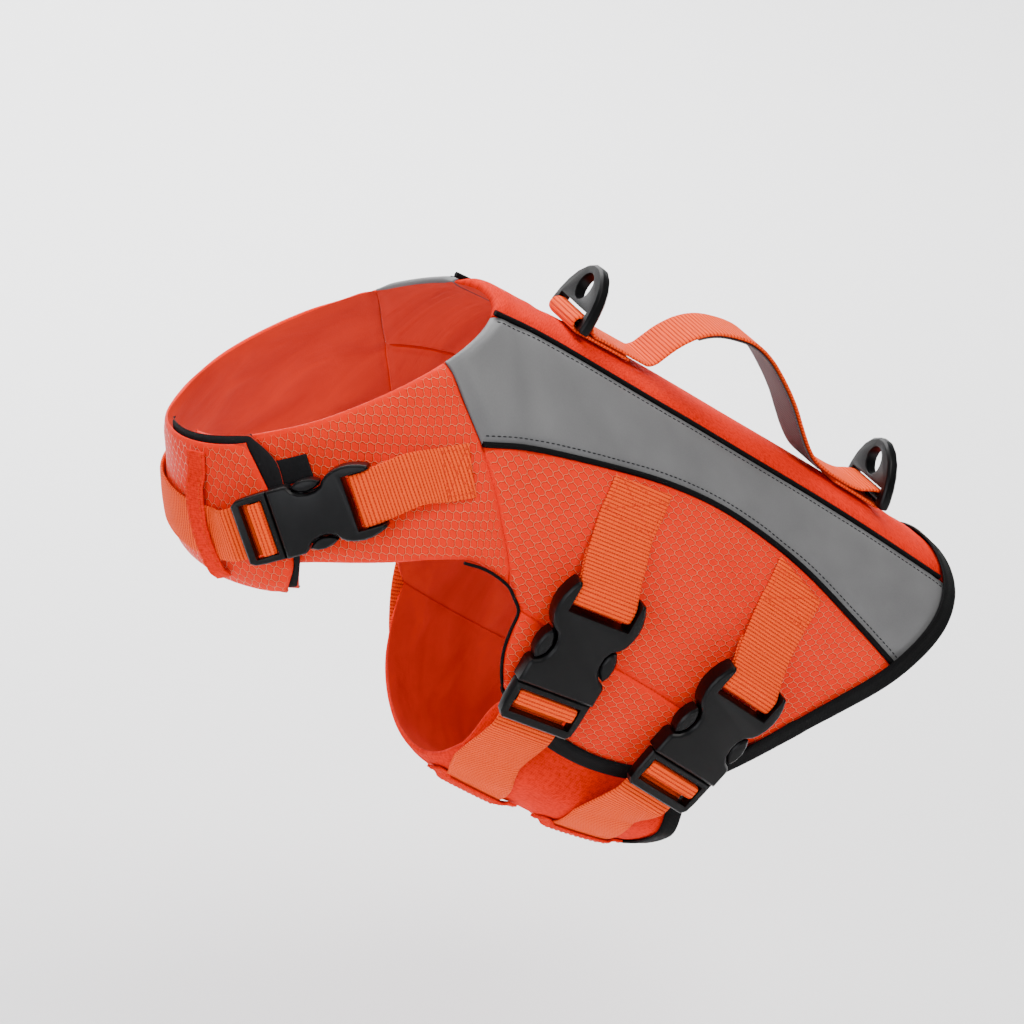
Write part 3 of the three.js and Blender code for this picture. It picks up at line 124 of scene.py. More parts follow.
# The smooth stretch between the middle two of four points whose spacings differ.
def between(four, gap, t):
    x0, x1, x2, x3 = four
    t1 = ((x1 - x0) / gap[0] - (x2 - x0) / (gap[0] + gap[1]) + (x2 - x1) / gap[1]) * gap[1]
    t2 = ((x2 - x1) / gap[1] - (x3 - x1) / (gap[1] + gap[2]) + (x3 - x2) / gap[2]) * gap[1]
    return x1 + t1 * t + (3 * (x2 - x1) - 2 * t1 - t2) * t ** 2 + (2 * (x1 - x2) + t1 + t2) * t ** 3


# A smooth line through places (u, angle) on the form, read by the share of its length.
PLACE_SCALE = np.array([50, 1.5])


def line(places):
    p = np.array(places, float) * PLACE_SCALE
    p = np.vstack([2 * p[0] - p[1], p, 2 * p[-1] - p[-2]])
    samples = []
    for k in range(len(p) - 3):
        gap = np.sqrt(np.linalg.norm(np.diff(p[k:k + 4], axis=0), axis=1))
        samples.append(between(p[k:k + 4], gap, np.linspace(0, 1, 40)[:, None]))
    q = np.vstack(samples)
    run = np.concatenate([[0], np.cumsum(np.linalg.norm(np.diff(q, axis=0), axis=1))])
    run /= run[-1]
    def path(share):
        share = np.clip(share, 0, 1)
        return np.interp(share, run, q[:, 0]) / PLACE_SCALE[0], np.interp(share, run, q[:, 1]) / PLACE_SCALE[1]
    return path


def mirrored(path):
    def other(share):
        u, angle = path(share)
        return u, 360 - angle
    return other


def part_of(path, start, end):
    return lambda share: path(start + (end - start) * np.asarray(share, float))


def cornered(first, second, corner):
    def both(share):
        share = np.asarray(share, float)
        a = first(np.minimum(share / corner, 1))
        b = second(np.maximum((share - corner) / (1 - corner), 0))
        return np.where(share < corner, a[0], b[0]), np.where(share < corner, a[1], b[1])
    return both


def smooth(low, high, x):
    t = np.clip((np.asarray(x, float) - low) / (high - low), 0, 1)
    return t * t * (3 - 2 * t)


# From the garment's millimetres, X along the back, to the frame's metres.
HELD = np.array([135.0, 0, float(section(np.array(3.0))[1]) - PANEL_WALL])
WORN_TURN = np.array([
    (math.cos(SPINE_TILT), 0, math.sin(SPINE_TILT)), (0, 1, 0), (-math.sin(SPINE_TILT), 0, math.cos(SPINE_TILT))])


def worn(points):
    return ((np.asarray(points, float) - HELD) @ WORN_TURN.T) / 1000


# Cloth grain: x along the garment and the length round it, so that weaves keep their size.
GRAIN_ANGLES = np.arange(-60, 421, 2.0)
GRAIN_US = np.arange(-0.3, 5.35, 0.05)
_ring = form_point(GRAIN_US[:, None], GRAIN_ANGLES[None, :])[..., 1:]
GRAIN_ROUND = np.concatenate([
    np.zeros((len(GRAIN_US), 1)),
    np.cumsum(np.linalg.norm(np.diff(_ring, axis=1), axis=2), axis=1),
], 1)
GRAIN_ROUND -= GRAIN_ROUND[:, np.searchsorted(GRAIN_ANGLES, 90)][:, None]


def grain(u, angle):
    i = np.clip((u - GRAIN_US[0]) / 0.05, 0, len(GRAIN_US) - 1.001)
    j = np.clip((angle - GRAIN_ANGLES[0]) / 2, 0, len(GRAIN_ANGLES) - 1.001)
    i0, j0 = np.floor(i).astype(int), np.floor(j).astype(int)
    fi, fj = i - i0, j - j0
    g = GRAIN_ROUND
    across = ((1 - fi) * (1 - fj) * g[i0, j0] + fi * (1 - fj) * g[i0 + 1, j0]
              + (1 - fi) * fj * g[i0, j0 + 1] + fi * fj * g[i0 + 1, j0 + 1])
    return np.stack([form_point(u, angle)[..., 0], across], -1)


# Closes an outer and an inner grid of points into one wall. uv holds millimetres of cloth, and
# from_seam the millimetres to the nearest seam, for weaves that are pressed flat there.
def wall_mesh(name, outer, inner, uv, material, lining=None, from_seam=None):
    rows, columns = outer.shape[:2]
    points = np.concatenate([outer.reshape(-1, 3), inner.reshape(-1, 3)])
    at = np.arange(rows * columns).reshape(rows, columns)
    low = at + rows * columns
    quads = [
        np.stack([at[:-1, :-1], at[:-1, 1:], at[1:, 1:], at[1:, :-1]], -1).reshape(-1, 4),
        np.stack([low[:-1, :-1], low[1:, :-1], low[1:, 1:], low[:-1, 1:]], -1).reshape(-1, 4),
        np.stack([at[:-1, 0], at[1:, 0], low[1:, 0], low[:-1, 0]], -1),
        np.stack([at[1:, -1], at[:-1, -1], low[:-1, -1], low[1:, -1]], -1),
        np.stack([at[0, 1:], at[0, :-1], low[0, :-1], low[0, 1:]], -1),
        np.stack([at[-1, :-1], at[-1, 1:], low[-1, 1:], low[-1, :-1]], -1),
    ]
    faces = np.concatenate(quads)
    a, b, c, d = (points[faces[:, k]] for k in range(4))
    volume = (a * np.cross(b, c)).sum() + (a * np.cross(c, d)).sum()
    if volume < 0:
        faces = faces[:, ::-1]
    mesh = bpy.data.meshes.new(name)
    mesh.from_pydata(worn(points).tolist(), [], faces.tolist())
    layer = mesh.uv_layers.new(name="UVMap")
    flat = np.concatenate([uv.reshape(-1, 2), uv.reshape(-1, 2)]) / 1000
    layer.data.foreach_set("uv", flat[faces.reshape(-1)].reshape(-1).astype(np.float32))
    mesh.polygons.foreach_set("use_smooth", np.ones(len(faces), bool))
    if from_seam is not None:
        kept = mesh.attributes.new("from_seam", "FLOAT", "POINT")
        kept.data.foreach_set("value", np.tile(from_seam.reshape(-1), 2).astype(np.float32))
    mesh.materials.append(material)
    if lining:
        mesh.materials.append(lining)
        inside = np.zeros(len(faces), int)
        inside[len(quads[0]):len(quads[0]) + len(quads[1])] = 1
        mesh.polygons.foreach_set("material_index", inside)
    piece = bpy.data.objects.new(name, mesh)
    bpy.context.scene.collection.objects.link(piece)
    mesh.update()
    return piece


# Soft troughs pressed into a panel: where (u, angle), half length and half width in mm, the turn
# of the trough from the garment's length in degrees, and its depth in mm.
def troughs(u, angle, dents):
    spot = grain(u, angle)
    deep = np.zeros(np.shape(u))
    for dent in dents:
        centre = grain(np.array(dent["u"]), np.array(dent["angle"]))
        turn = math.radians(dent["turn"])
        dx, dy = spot[..., 0] - centre[0], spot[..., 1] - centre[1]
        along = dx * math.cos(turn) + dy * math.sin(turn)
        across = -dx * math.sin(turn) + dy * math.cos(turn)
        bend = across - along ** 2 / (6 * dent["half_length"])
        share = (along / dent["half_length"]) ** 2 + (bend / dent["half_width"]) ** 2
        deep += dent["depth"] * np.exp(-share)
    return deep


# A padded panel between four lines. trim is how far it stops short of each line, dip how deep the
# stitching pulls each edge, and bound edges are squeezed thin for the tape. A strip is cut along
# its own length instead of along the garment.
def panel(name, material, top, bottom, left, right, cells, wall, trim, dip, bound=(), rise=None,
          dents=(), strip=False):
    s, t = np.meshgrid(np.linspace(0, 1, cells[0] + 1), np.linspace(0, 1, cells[1] + 1), indexing="ij")
    ease = lambda x: 0.5 - 0.5 * np.cos(np.pi * x)
    s, t = 0.5 * s + 0.5 * ease(s), 0.35 * t + 0.65 * ease(t)
    corners = [np.array(f(e)) for f, e in ((top, 0.0), (top, 1.0), (bottom, 0.0), (bottom, 1.0))]

    def place(s, t):
        ends = [np.array(top(s)), np.array(bottom(s)), np.array(left(t)), np.array(right(t))]
        return ((1 - t) * ends[0] + t * ends[1] + (1 - s) * ends[2] + s * ends[3]
                - (1 - s) * (1 - t) * corners[0][:, None, None] - s * (1 - t) * corners[1][:, None, None]
                - (1 - s) * t * corners[2][:, None, None] - s * t * corners[3][:, None, None])

    rough = form_point(*place(s, t))
    length_s = np.linalg.norm(np.diff(rough, axis=0), axis=2).sum(0)[None, :]
    length_t = np.linalg.norm(np.diff(rough, axis=1), axis=2).sum(1)[:, None]
    length_t = np.maximum(length_t, 8)
    from_top, from_bottom, from_left, from_right = (
        trim[edge](s) if callable(trim[edge]) else trim[edge] for edge in ("top", "bottom", "left", "right"))
    s = from_left / length_s + s * (1 - (from_left + from_right) / length_s)
    t = from_top / length_t + t * (1 - (from_top + from_bottom) / length_t)
    u, angle = place(s, t)
    to_edge = {
        "left": s * length_s - from_left, "right": (1 - s) * length_s - from_right,
        "top": t * length_t - from_top, "bottom": (1 - t) * length_t - from_bottom,
    }
    from_seam = np.full(u.shape, 99.0)
    for edge, distance in to_edge.items():
        if edge in dip and edge not in bound:
            from_seam = np.minimum(from_seam, distance)
    sharp = {edge: SEAM_CREASE if not callable(trim[edge]) and trim[edge] < 0.5 else 0.0 for edge in to_edge}
    lift = rise(u, angle) if rise else np.zeros_like(u)
    thick = wall(u, angle) if callable(wall) else wall + np.zeros_like(u)
    high = lift - troughs(u, angle, dents)
    low = lift - thick
    for edge, distance in to_edge.items():
        if edge in bound:
            pinch = np.clip(1 - distance / (BINDING_LAP + 1), 0, 1)
            high = high + BOUND_TOP * pinch
            low = low + (BOUND_TOP - BOUND_WALL + thick) * pinch
        else:
            pull = dip.get(edge, 1.3)
            high = (high - pull * (1 - smooth(0, SEAM_REACH, distance)) ** 1.4
                    - sharp[edge] * (1 - smooth(0, 1.6, distance)))
            low = low + 0.5 * np.minimum(pull, thick / 5) * (1 - smooth(0, 0.6 * SEAM_REACH, distance))
    uv = grain(u, angle)
    if strip:
        here = form_point(u, angle)
        steps_round = np.linalg.norm(np.diff(here, axis=0), axis=2)
        steps_down = np.linalg.norm(np.diff(here, axis=1), axis=2)
        round_it = np.concatenate([np.zeros((1, u.shape[1])), np.cumsum(steps_round, axis=0)])
        down_it = np.concatenate([np.zeros((u.shape[0], 1)), np.cumsum(steps_down, axis=1)], 1)
        middle = round_it[len(round_it) // 2]
        uv = np.stack([down_it, round_it - middle[None, :]], -1)
    return wall_mesh(name, skin(u, angle, high), skin(u, angle, low), uv, material, taffeta_orange, from_seam)


# Adds a shader node with its settings, and links or sets its inputs.
def add_node(tree, kind, settings=None, inputs=None):
    made = tree.nodes.new(kind)
    for key, value in (settings or {}).items():
        setattr(made, key, value)
    for key, value in (inputs or {}).items():
        if isinstance(value, bpy.types.NodeSocket):
            tree.links.new(value, made.inputs[key])
        else:
            made.inputs[key].default_value = value
    return made


def colour(hex_text):
    parts = [int(hex_text[k:k + 2], 16) / 255 for k in (1, 3, 5)]
    return [p / 12.92 if p <= 0.04045 else ((p + 0.055) / 1.055) ** 2.4 for p in parts] + [1.0]


def new_material(name):
    material = bpy.data.materials.new(name)
    material.use_nodes = True
    tree = material.node_tree
    return material, tree, tree.nodes["Principled BSDF"]


# Oxford polyester: a plain basket weave of matt threads, which gives a fine even tooth and a faint
# twill. The threads are drawn 0.55 mm apart.
THREAD_PITCH = 0.55
oxford_orange, tree, shader = new_material("Oxford polyester orange")
cloth_uv = add_node(tree, "ShaderNodeTexCoord").outputs["UV"]
threads = add_node(tree, "ShaderNodeMapping", None, {"Vector": cloth_uv, "Scale": [1000 / THREAD_PITCH] * 3})
thread_axes = add_node(tree, "ShaderNodeSeparateXYZ", None, {"Vector": threads.outputs[0]})
wave_x = add_node(tree, "ShaderNodeMath", {"operation": "PINGPONG"}, {0: thread_axes.outputs[0], 1: 1.0})
wave_y = add_node(tree, "ShaderNodeMath", {"operation": "PINGPONG"}, {0: thread_axes.outputs[1], 1: 1.0})
weave = add_node(tree, "ShaderNodeMath", {"operation": "MULTIPLY"}, {0: wave_x.outputs[0], 1: wave_y.outputs[0]})
slub = add_node(tree, "ShaderNodeTexNoise", None, {"Vector": cloth_uv, "Scale": 560.0, "Detail": 3.0})
fade = add_node(tree, "ShaderNodeTexNoise", None, {"Vector": cloth_uv, "Scale": 28.0, "Detail": 4.0})
half_weave = add_node(tree, "ShaderNodeMath", {"operation": "MULTIPLY"}, {0: weave.outputs[0], 1: 0.35})
tooth = add_node(tree, "ShaderNodeMath", {"operation": "MULTIPLY_ADD"}, {0: slub.outputs[0], 1: 1.1, 2: half_weave.outputs[0]})
shade = add_node(tree, "ShaderNodeMath", {"operation": "MULTIPLY_ADD"}, {0: fade.outputs[0], 1: 0.5, 2: tooth.outputs[0]})
ramp = add_node(tree, "ShaderNodeValToRGB", None, {"Fac": shade.outputs[0]})
ramp.color_ramp.elements[0].position = 0.55
ramp.color_ramp.elements[0].color = colour("#C41603")
ramp.color_ramp.elements[1].position = 1.0
ramp.color_ramp.elements[1].color = colour("#E92105")
bump = add_node(tree, "ShaderNodeBump", None, {"Height": tooth.outputs[0], "Strength": 0.6, "Distance": 0.0007})
tree.links.new(ramp.outputs[0], shader.inputs["Base Color"])
tree.links.new(bump.outputs[0], shader.inputs["Normal"])
shader.inputs["Roughness"].default_value = 0.7
shader.inputs["Specular IOR Level"].default_value = 0.03
shader.inputs["Specular Tint"].default_value = colour("#FF7A30")

# Taffeta lining: thin smooth cloth behind the foam, slightly crumpled between the quilting, in a
# deeper orange. Its own threads are too fine to see, so only the crumples are drawn.
taffeta_orange, tree, shader = new_material("Taffeta lining orange")
cloth_uv = add_node(tree, "ShaderNodeTexCoord").outputs["UV"]
stretched = add_node(tree, "ShaderNodeMapping", None, {"Vector": cloth_uv, "Scale": (60.0, 22.0, 60.0)})
crumple = add_node(tree, "ShaderNodeTexNoise", None, {"Vector": stretched.outputs[0], "Scale": 1.0, "Detail": 4.0, "Distortion": 0.6})
silk = add_node(tree, "ShaderNodeTexNoise", None, {"Vector": cloth_uv, "Scale": 1300.0, "Detail": 2.0})
folds = add_node(tree, "ShaderNodeMath", {"operation": "MULTIPLY_ADD"}, {0: silk.outputs[0], 1: 0.08, 2: crumple.outputs[0]})
ramp = add_node(tree, "ShaderNodeValToRGB", None, {"Fac": folds.outputs[0]})
ramp.color_ramp.elements[0].position = 0.3
ramp.color_ramp.elements[0].color = colour("#B8200A")
ramp.color_ramp.elements[1].position = 0.75
ramp.color_ramp.elements[1].color = colour("#D63010")
bump = add_node(tree, "ShaderNodeBump", None, {"Height": folds.outputs[0], "Strength": 0.5, "Distance": 0.0025})
tree.links.new(ramp.outputs[0], shader.inputs["Base Color"])
tree.links.new(bump.outputs[0], shader.inputs["Normal"])
shader.inputs["Roughness"].default_value = 0.6
shader.inputs["Specular IOR Level"].default_value = 0.25

SPINE_HALF_NECK = 27.0
SPINE_HALF_BACK = 33.5
HEM = [
    (4.8, 0), (4.81, 14), (4.82, 32), (4.78, 47), (4.69, 60), (4.56, 72), (4.36, 84), (4.17, 94), (3.99, 106)]
_hem = line(HEM)(np.linspace(0, 1, 400))


def hem_u(angle):
    return np.interp(np.abs(angle), _hem[1], _hem[0])


def spine_angle(u):
    half = SPINE_HALF_NECK + (SPINE_HALF_BACK - SPINE_HALF_NECK) * smooth(0.3, 2.2, u)
    at = section(np.asarray(u, float))
    return np.degrees(np.arcsin((half / at[..., 4]) ** (at[..., 5] / 2)))


spine_end_angle = 25.0
for _ in range(8):
    spine_end_angle = float(spine_angle(hem_u(spine_end_angle)))
spine_end_u = float(hem_u(spine_end_angle))


def spine_seam(share):
    u = spine_end_u * np.asarray(share, float)
    return u, spine_angle(u)


def hem_between(start, end):
    def path(share):
        angle = start + (end - start) * np.asarray(share, float)
        return hem_u(angle), angle
    return path


def spine_left_end(share):
    return 0 * np.asarray(share, float), 360 + float(spine_angle(0.0)) * (2 * np.asarray(share, float) - 1)


def spine_right_end(share):
    angle = spine_end_angle * (2 * np.asarray(share, float) - 1)
    return hem_u(angle), 360 + angle


spine_dents = [
    {"u": 0.35, "angle": 372, "half_length": 20, "half_width": 7, "turn": 70, "depth": 0.7},
    {"u": 1.0, "angle": 346, "half_length": 26, "half_width": 8, "turn": 20, "depth": 0.6},
    {"u": 2.6, "angle": 376, "half_length": 30, "half_width": 7, "turn": -15, "depth": 0.6},
    {"u": 4.35, "angle": 366, "half_length": 22, "half_width": 8, "turn": 80, "depth": 0.8},
    {"u": 4.45, "angle": 344, "half_length": 16, "half_width": 6, "turn": 60, "depth": 0.7},
]
spine_panel = panel(
    "spine_cloth", oxford_orange, mirrored(spine_seam),
    lambda share: (spine_seam(share)[0], 360 + spine_seam(share)[1]), spine_left_end, spine_right_end,
    (130, 34), PANEL_WALL, {"top": SPINE_PIPE_TRIM, "bottom": SPINE_PIPE_TRIM, "left": 0, "right": 0},
    {"top": 1.4, "bottom": 1.4, "left": 1.8}, ("right",), None, spine_dents)
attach(spine_panel, "jacket")
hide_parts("spine_panel")

# ---- Shoulder panels -------------------------------------------------------------------------
# Grey reflective-type cloth over foam, one each side of the spine from the neck to the hem. Piped
# along both long seams and topstitched just inside the piping.

# Coated grey polyester: so finely woven that it looks smooth, with a dull satin glow and faint
# soft clouding where the foam shows through. The grit is 0.7 mm.
reflective_grey, tree, shader = new_material("Coated grey polyester")
cloth_uv = add_node(tree, "ShaderNodeTexCoord").outputs["UV"]
mottle = add_node(tree, "ShaderNodeTexNoise", None, {"Vector": cloth_uv, "Scale": 45.0, "Detail": 5.0})
grit = add_node(tree, "ShaderNodeTexNoise", None, {"Vector": cloth_uv, "Scale": 1400.0, "Detail": 2.0})
mixed = add_node(tree, "ShaderNodeMath", {"operation": "MULTIPLY_ADD"}, {0: grit.outputs[0], 1: 0.5, 2: mottle.outputs[0]})
ramp = add_node(tree, "ShaderNodeValToRGB", None, {"Fac": mixed.outputs[0]})
ramp.color_ramp.elements[0].position = 0.35
ramp.color_ramp.elements[0].color = colour("#5D5D5E")
ramp.color_ramp.elements[1].position = 1.0
ramp.color_ramp.elements[1].color = colour("#69696A")
bump = add_node(tree, "ShaderNodeBump", None, {"Height": mixed.outputs[0], "Strength": 0.15, "Distance": 0.0004})
tree.links.new(ramp.outputs[0], shader.inputs["Base Color"])
tree.links.new(bump.outputs[0], shader.inputs["Normal"])
shader.inputs["Roughness"].default_value = 0.5
shader.inputs["Specular IOR Level"].default_value = 0.3

COLLAR_TIP = (0.88, 71)
SIDE_SEAM_END = 66.8
LOWER_SEAM_END = 98.5
side_seam = line([
    COLLAR_TIP, (1.15, 63.6), (1.58, 56.4), (2.26, 48.6), (2.8, 46), (3.27, 47.3), (3.7, 51), (4.21, 58.8),
    (float(hem_u(SIDE_SEAM_END)), SIDE_SEAM_END),
])
shoulder_collar_seam = line([(0, 61.5), (0.49, 66.8), COLLAR_TIP])
SHOULDER_CORNER = 0.22
SIDES = {"left": lambda path: path, "right": mirrored}
shoulder_dents = [
    {"u": 0.8, "angle": 46, "half_length": 24, "half_width": 8, "turn": 60, "depth": 0.8},
    {"u": 1.5, "angle": 40, "half_length": 30, "half_width": 9, "turn": 25, "depth": 0.7},
    {"u": 2.6, "angle": 36, "half_length": 36, "half_width": 7, "turn": -8, "depth": 0.7},
    {"u": 3.5, "angle": 41, "half_length": 22, "half_width": 8, "turn": -50, "depth": 0.8},
    {"u": 4.3, "angle": 50, "half_length": 20, "half_width": 9, "turn": 30, "depth": 0.9},
]


def on_side(side, dents):
    if side == "left":
        return dents
    return [
        dict(d, angle=360 - d["angle"] - 3, u=d["u"] + 0.09, turn=-d["turn"], depth=d["depth"] * 0.9) for d in dents]


for side, turn in SIDES.items():
    shoulder = panel(
        f"shoulder_cloth_{side}", reflective_grey, turn(spine_seam),
        turn(cornered(shoulder_collar_seam, side_seam, SHOULDER_CORNER)),
        turn(line([(0, float(spine_angle(0.0))), (0, 61.5)])), turn(hem_between(spine_end_angle, SIDE_SEAM_END)),
        (150, 34), PANEL_WALL,
        {"top": SPINE_PIPE_TRIM, "left": 0, "right": 0,
         "bottom": lambda share: SIDE_PIPE_TRIM * smooth(SHOULDER_CORNER, SHOULDER_CORNER + 0.02, share)},
        {"top": 1.3, "bottom": 1.3, "left": 1.8}, ("right",), None, on_side(side, shoulder_dents))
    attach(shoulder, "jacket")
    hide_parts(f"shoulder_panel_{side}")

# ---- Side panels -----------------------------------------------------------------------------
# Orange ripstop over foam, from the shoulder piping down to the lower seam. The straps are sewn on
# them, and they are cut back in front for the leg.

# Coated ripstop nylon: flat glossy cloth crossed by raised double threads in wavy lozenges. Each
# ridge is glossy on top, its crest is painted a lighter orange as a painted highlight, and one flank of it is painted
# darker as painted shade. Cells are 3.7 mm, ridges 0.6 mm.
CELL = 3.7
ripstop_orange, tree, shader = new_material("Coated ripstop nylon orange")
cloth_uv = add_node(tree, "ShaderNodeTexCoord").outputs["UV"]
turned = add_node(tree, "ShaderNodeMapping", None, {
    "Vector": cloth_uv, "Rotation": (0, 0, math.radians(-24)), "Scale": [1000 / CELL] * 3})
axes = add_node(tree, "ShaderNodeSeparateXYZ", None, {"Vector": turned.outputs[0]})
ridges, painted_shade_lines = [], []
for along, across, sway in ((0, 1, 0.1), (1, 0, 0.07)):
    full_turn = add_node(tree, "ShaderNodeMath", {"operation": "MULTIPLY"}, {0: axes.outputs[across], 1: 2 * math.pi})
    wave = add_node(tree, "ShaderNodeMath", {"operation": "SINE"}, {0: full_turn.outputs[0]})
    bent = add_node(tree, "ShaderNodeMath", {"operation": "MULTIPLY_ADD"}, {0: wave.outputs[0], 1: sway, 2: axes.outputs[along]})
    # The second set of lines, moved to one side of each ridge, marks the flank that gets painted shade.
    for made, start in ((ridges, 0.0), (painted_shade_lines, 0.085)):
        moved = add_node(tree, "ShaderNodeMath", {"operation": "SUBTRACT"}, {0: bent.outputs[0], 1: start})
        saw = add_node(tree, "ShaderNodeMath", {"operation": "FRACT"}, {0: moved.outputs[0]})
        middle = add_node(tree, "ShaderNodeMath", {"operation": "SUBTRACT"}, {0: saw.outputs[0], 1: 0.5})
        away = add_node(tree, "ShaderNodeMath", {"operation": "ABSOLUTE"}, {0: middle.outputs[0]})
        made.append(add_node(tree, "ShaderNodeMapRange", {"interpolation_type": "SMOOTHSTEP"}, {
            "Value": away.outputs[0], "From Min": 0.0, "From Max": 0.075, "To Min": 1.0, "To Max": 0.0}))
from_seam = add_node(tree, "ShaderNodeAttribute", {"attribute_name": "from_seam"}).outputs["Fac"]
open_cloth = add_node(tree, "ShaderNodeMapRange", {"interpolation_type": "SMOOTHSTEP"}, {
    "Value": from_seam, "From Min": 1.0, "From Max": 3.0, "To Min": 0.1, "To Max": 1.0})
all_ridges = add_node(tree, "ShaderNodeMath", {"operation": "MAXIMUM"}, {0: ridges[0].outputs[0], 1: ridges[1].outputs[0]})
ridge = add_node(tree, "ShaderNodeMath", {"operation": "MULTIPLY"}, {0: all_ridges.outputs[0], 1: open_cloth.outputs[0]})
all_painted_shade_lines = add_node(tree, "ShaderNodeMath", {"operation": "MAXIMUM"}, {0: painted_shade_lines[0].outputs[0], 1: painted_shade_lines[1].outputs[0]})
painted_shade_mask = add_node(tree, "ShaderNodeMath", {"operation": "MULTIPLY"}, {0: all_painted_shade_lines.outputs[0], 1: open_cloth.outputs[0]})
fine = add_node(tree, "ShaderNodeTexNoise", None, {"Vector": cloth_uv, "Scale": 1100.0, "Detail": 2.0})
patchy = add_node(tree, "ShaderNodeTexNoise", None, {"Vector": cloth_uv, "Scale": 24.0, "Detail": 3.0})
relief = add_node(tree, "ShaderNodeMath", {"operation": "MULTIPLY_ADD"}, {0: fine.outputs[0], 1: 0.14, 2: ridge.outputs[0]})
ground = add_node(tree, "ShaderNodeMix", {"data_type": "RGBA"}, {
    "Factor": patchy.outputs[0], 6: colour("#E21C03"), 7: colour("#F62705")})
# Painted shade: a darker orange laid along one flank of every ridge.
painted_shade_amount = add_node(tree, "ShaderNodeMath", {"operation": "MULTIPLY"}, {0: painted_shade_mask.outputs[0], 1: 0.7})
with_painted_shade = add_node(tree, "ShaderNodeMix", {"data_type": "RGBA"}, {
    "Factor": painted_shade_amount.outputs[0], 6: ground.outputs[2], 7: colour("#B01403")})
# Painted highlight: the ridge crests are painted a lighter orange.
painted_highlight_amount = add_node(tree, "ShaderNodeMath", {"operation": "MULTIPLY"}, {0: ridge.outputs[0], 1: 0.85})
with_painted_highlight = add_node(tree, "ShaderNodeMix", {"data_type": "RGBA"}, {
    "Factor": painted_highlight_amount.outputs[0], 6: with_painted_shade.outputs[2], 7: colour("#FF8A62")})
gloss = add_node(tree, "ShaderNodeMapRange", None, {
    "Value": ridge.outputs[0], "From Min": 0.0, "From Max": 1.0, "To Min": 0.48, "To Max": 0.27})
shine = add_node(tree, "ShaderNodeMapRange", None, {
    "Value": ridge.outputs[0], "From Min": 0.0, "From Max": 1.0, "To Min": 0.05, "To Max": 0.9})
bump = add_node(tree, "ShaderNodeBump", None, {"Height": relief.outputs[0], "Strength": 0.9, "Distance": 0.00035})
tree.links.new(with_painted_highlight.outputs[2], shader.inputs["Base Color"])
tree.links.new(gloss.outputs[0], shader.inputs["Roughness"])
tree.links.new(shine.outputs[0], shader.inputs["Specular IOR Level"])
tree.links.new(bump.outputs[0], shader.inputs["Normal"])
shader.inputs["Specular Tint"].default_value = colour("#FF8A48")

ARM_CORNER = (1.88, 91.7)
princess_seam = line([COLLAR_TIP, (1.25, 77.6), (1.58, 85), ARM_CORNER])
lower_seam = line([
    ARM_CORNER, (1.95, 92.8), (2.04, 94.3), (2.3, 94.2), (3.09, 94.4), (3.5, 95.8),
    (float(hem_u(LOWER_SEAM_END)), LOWER_SEAM_END),
])
side_dents = [
    {"u": 1.45, "angle": 72, "half_length": 20, "half_width": 7, "turn": 75, "depth": 1.0},
    {"u": 1.75, "angle": 84, "half_length": 24, "half_width": 8, "turn": 40, "depth": 1.1},
    {"u": 2.75, "angle": 66, "half_length": 22, "half_width": 9, "turn": 80, "depth": 0.8},
    {"u": 3.0, "angle": 84, "half_length": 26, "half_width": 8, "turn": 10, "depth": 0.9},
    {"u": 4.2, "angle": 72, "half_length": 24, "half_width": 9, "turn": 65, "depth": 0.9},
    {"u": 2.2, "angle": 88, "half_length": 18, "half_width": 6, "turn": -20, "depth": 0.9},
]
for side, turn in SIDES.items():
    flank = panel(
        f"side_cloth_{side}", ripstop_orange, turn(side_seam), turn(lower_seam), turn(princess_seam),
        turn(hem_between(SIDE_SEAM_END, LOWER_SEAM_END)), (130, 56), PANEL_WALL,
        {"top": lambda share: SIDE_PIPE_TRIM * smooth(0, 0.02, share), "bottom": 0, "left": 0, "right": 0},
        {"top": 1.2, "bottom": 1.4, "left": 1.5}, ("right",), None, on_side(side, side_dents))
    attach(flank, "jacket")
    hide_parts(f"side_panel_{side}")

# ---- Lower sides -----------------------------------------------------------------------------
# The same ripstop with thinner foam under the side panels. The left one ends in a bound edge over
# the belly panel; the right one is sewn to the belly panel.
LOWER_WALL = 4.0
LOWER_CORNER_SHARE = 0.085
HEM_END = 106
BELLY_SEAM = 118.5
RIGHT_ARM_FOOT = (2.55, BELLY_SEAM)
BELLY_REAR_U = 4.05
lower_top = part_of(lower_seam, LOWER_CORNER_SHARE, 1)
arm_start = tuple(float(v) for v in lower_seam(LOWER_CORNER_SHARE))
arm_edge = line([arm_start, (2.12, 99), (2.2, 104), (2.3, 108.6), (2.42, 113)])
left_bottom_edge = line([
    (2.42, 113), (2.65, 118), (2.93, 120.6), (3.2, 121), (3.45, 119.2), (3.68, 115.6), (3.85, 111),
    (float(hem_u(HEM_END)), HEM_END),
])
right_arm_edge = line([arm_start, (2.12, 99), (2.2, 104), (2.3, 108.6), (2.42, 113.4), RIGHT_ARM_FOOT])
right_hem_tail = line([
    (float(hem_u(LOWER_SEAM_END)), LOWER_SEAM_END), (4.02, 104), (4.01, 111), (BELLY_REAR_U, BELLY_SEAM)])
belly_seam = line([RIGHT_ARM_FOOT, (BELLY_REAR_U, BELLY_SEAM)])
lower_left = panel(
    "lower_side_cloth_left", ripstop_orange, lower_top, left_bottom_edge, arm_edge,
    hem_between(LOWER_SEAM_END, HEM_END), (90, 26), LOWER_WALL,
    {"top": 0, "bottom": 0, "left": 0, "right": 0}, {"top": 1.0, "left": 1.0}, ("bottom", "right"), None,
    [{"u": 2.9, "angle": 104, "half_length": 30, "half_width": 6, "turn": 5, "depth": 0.6}])
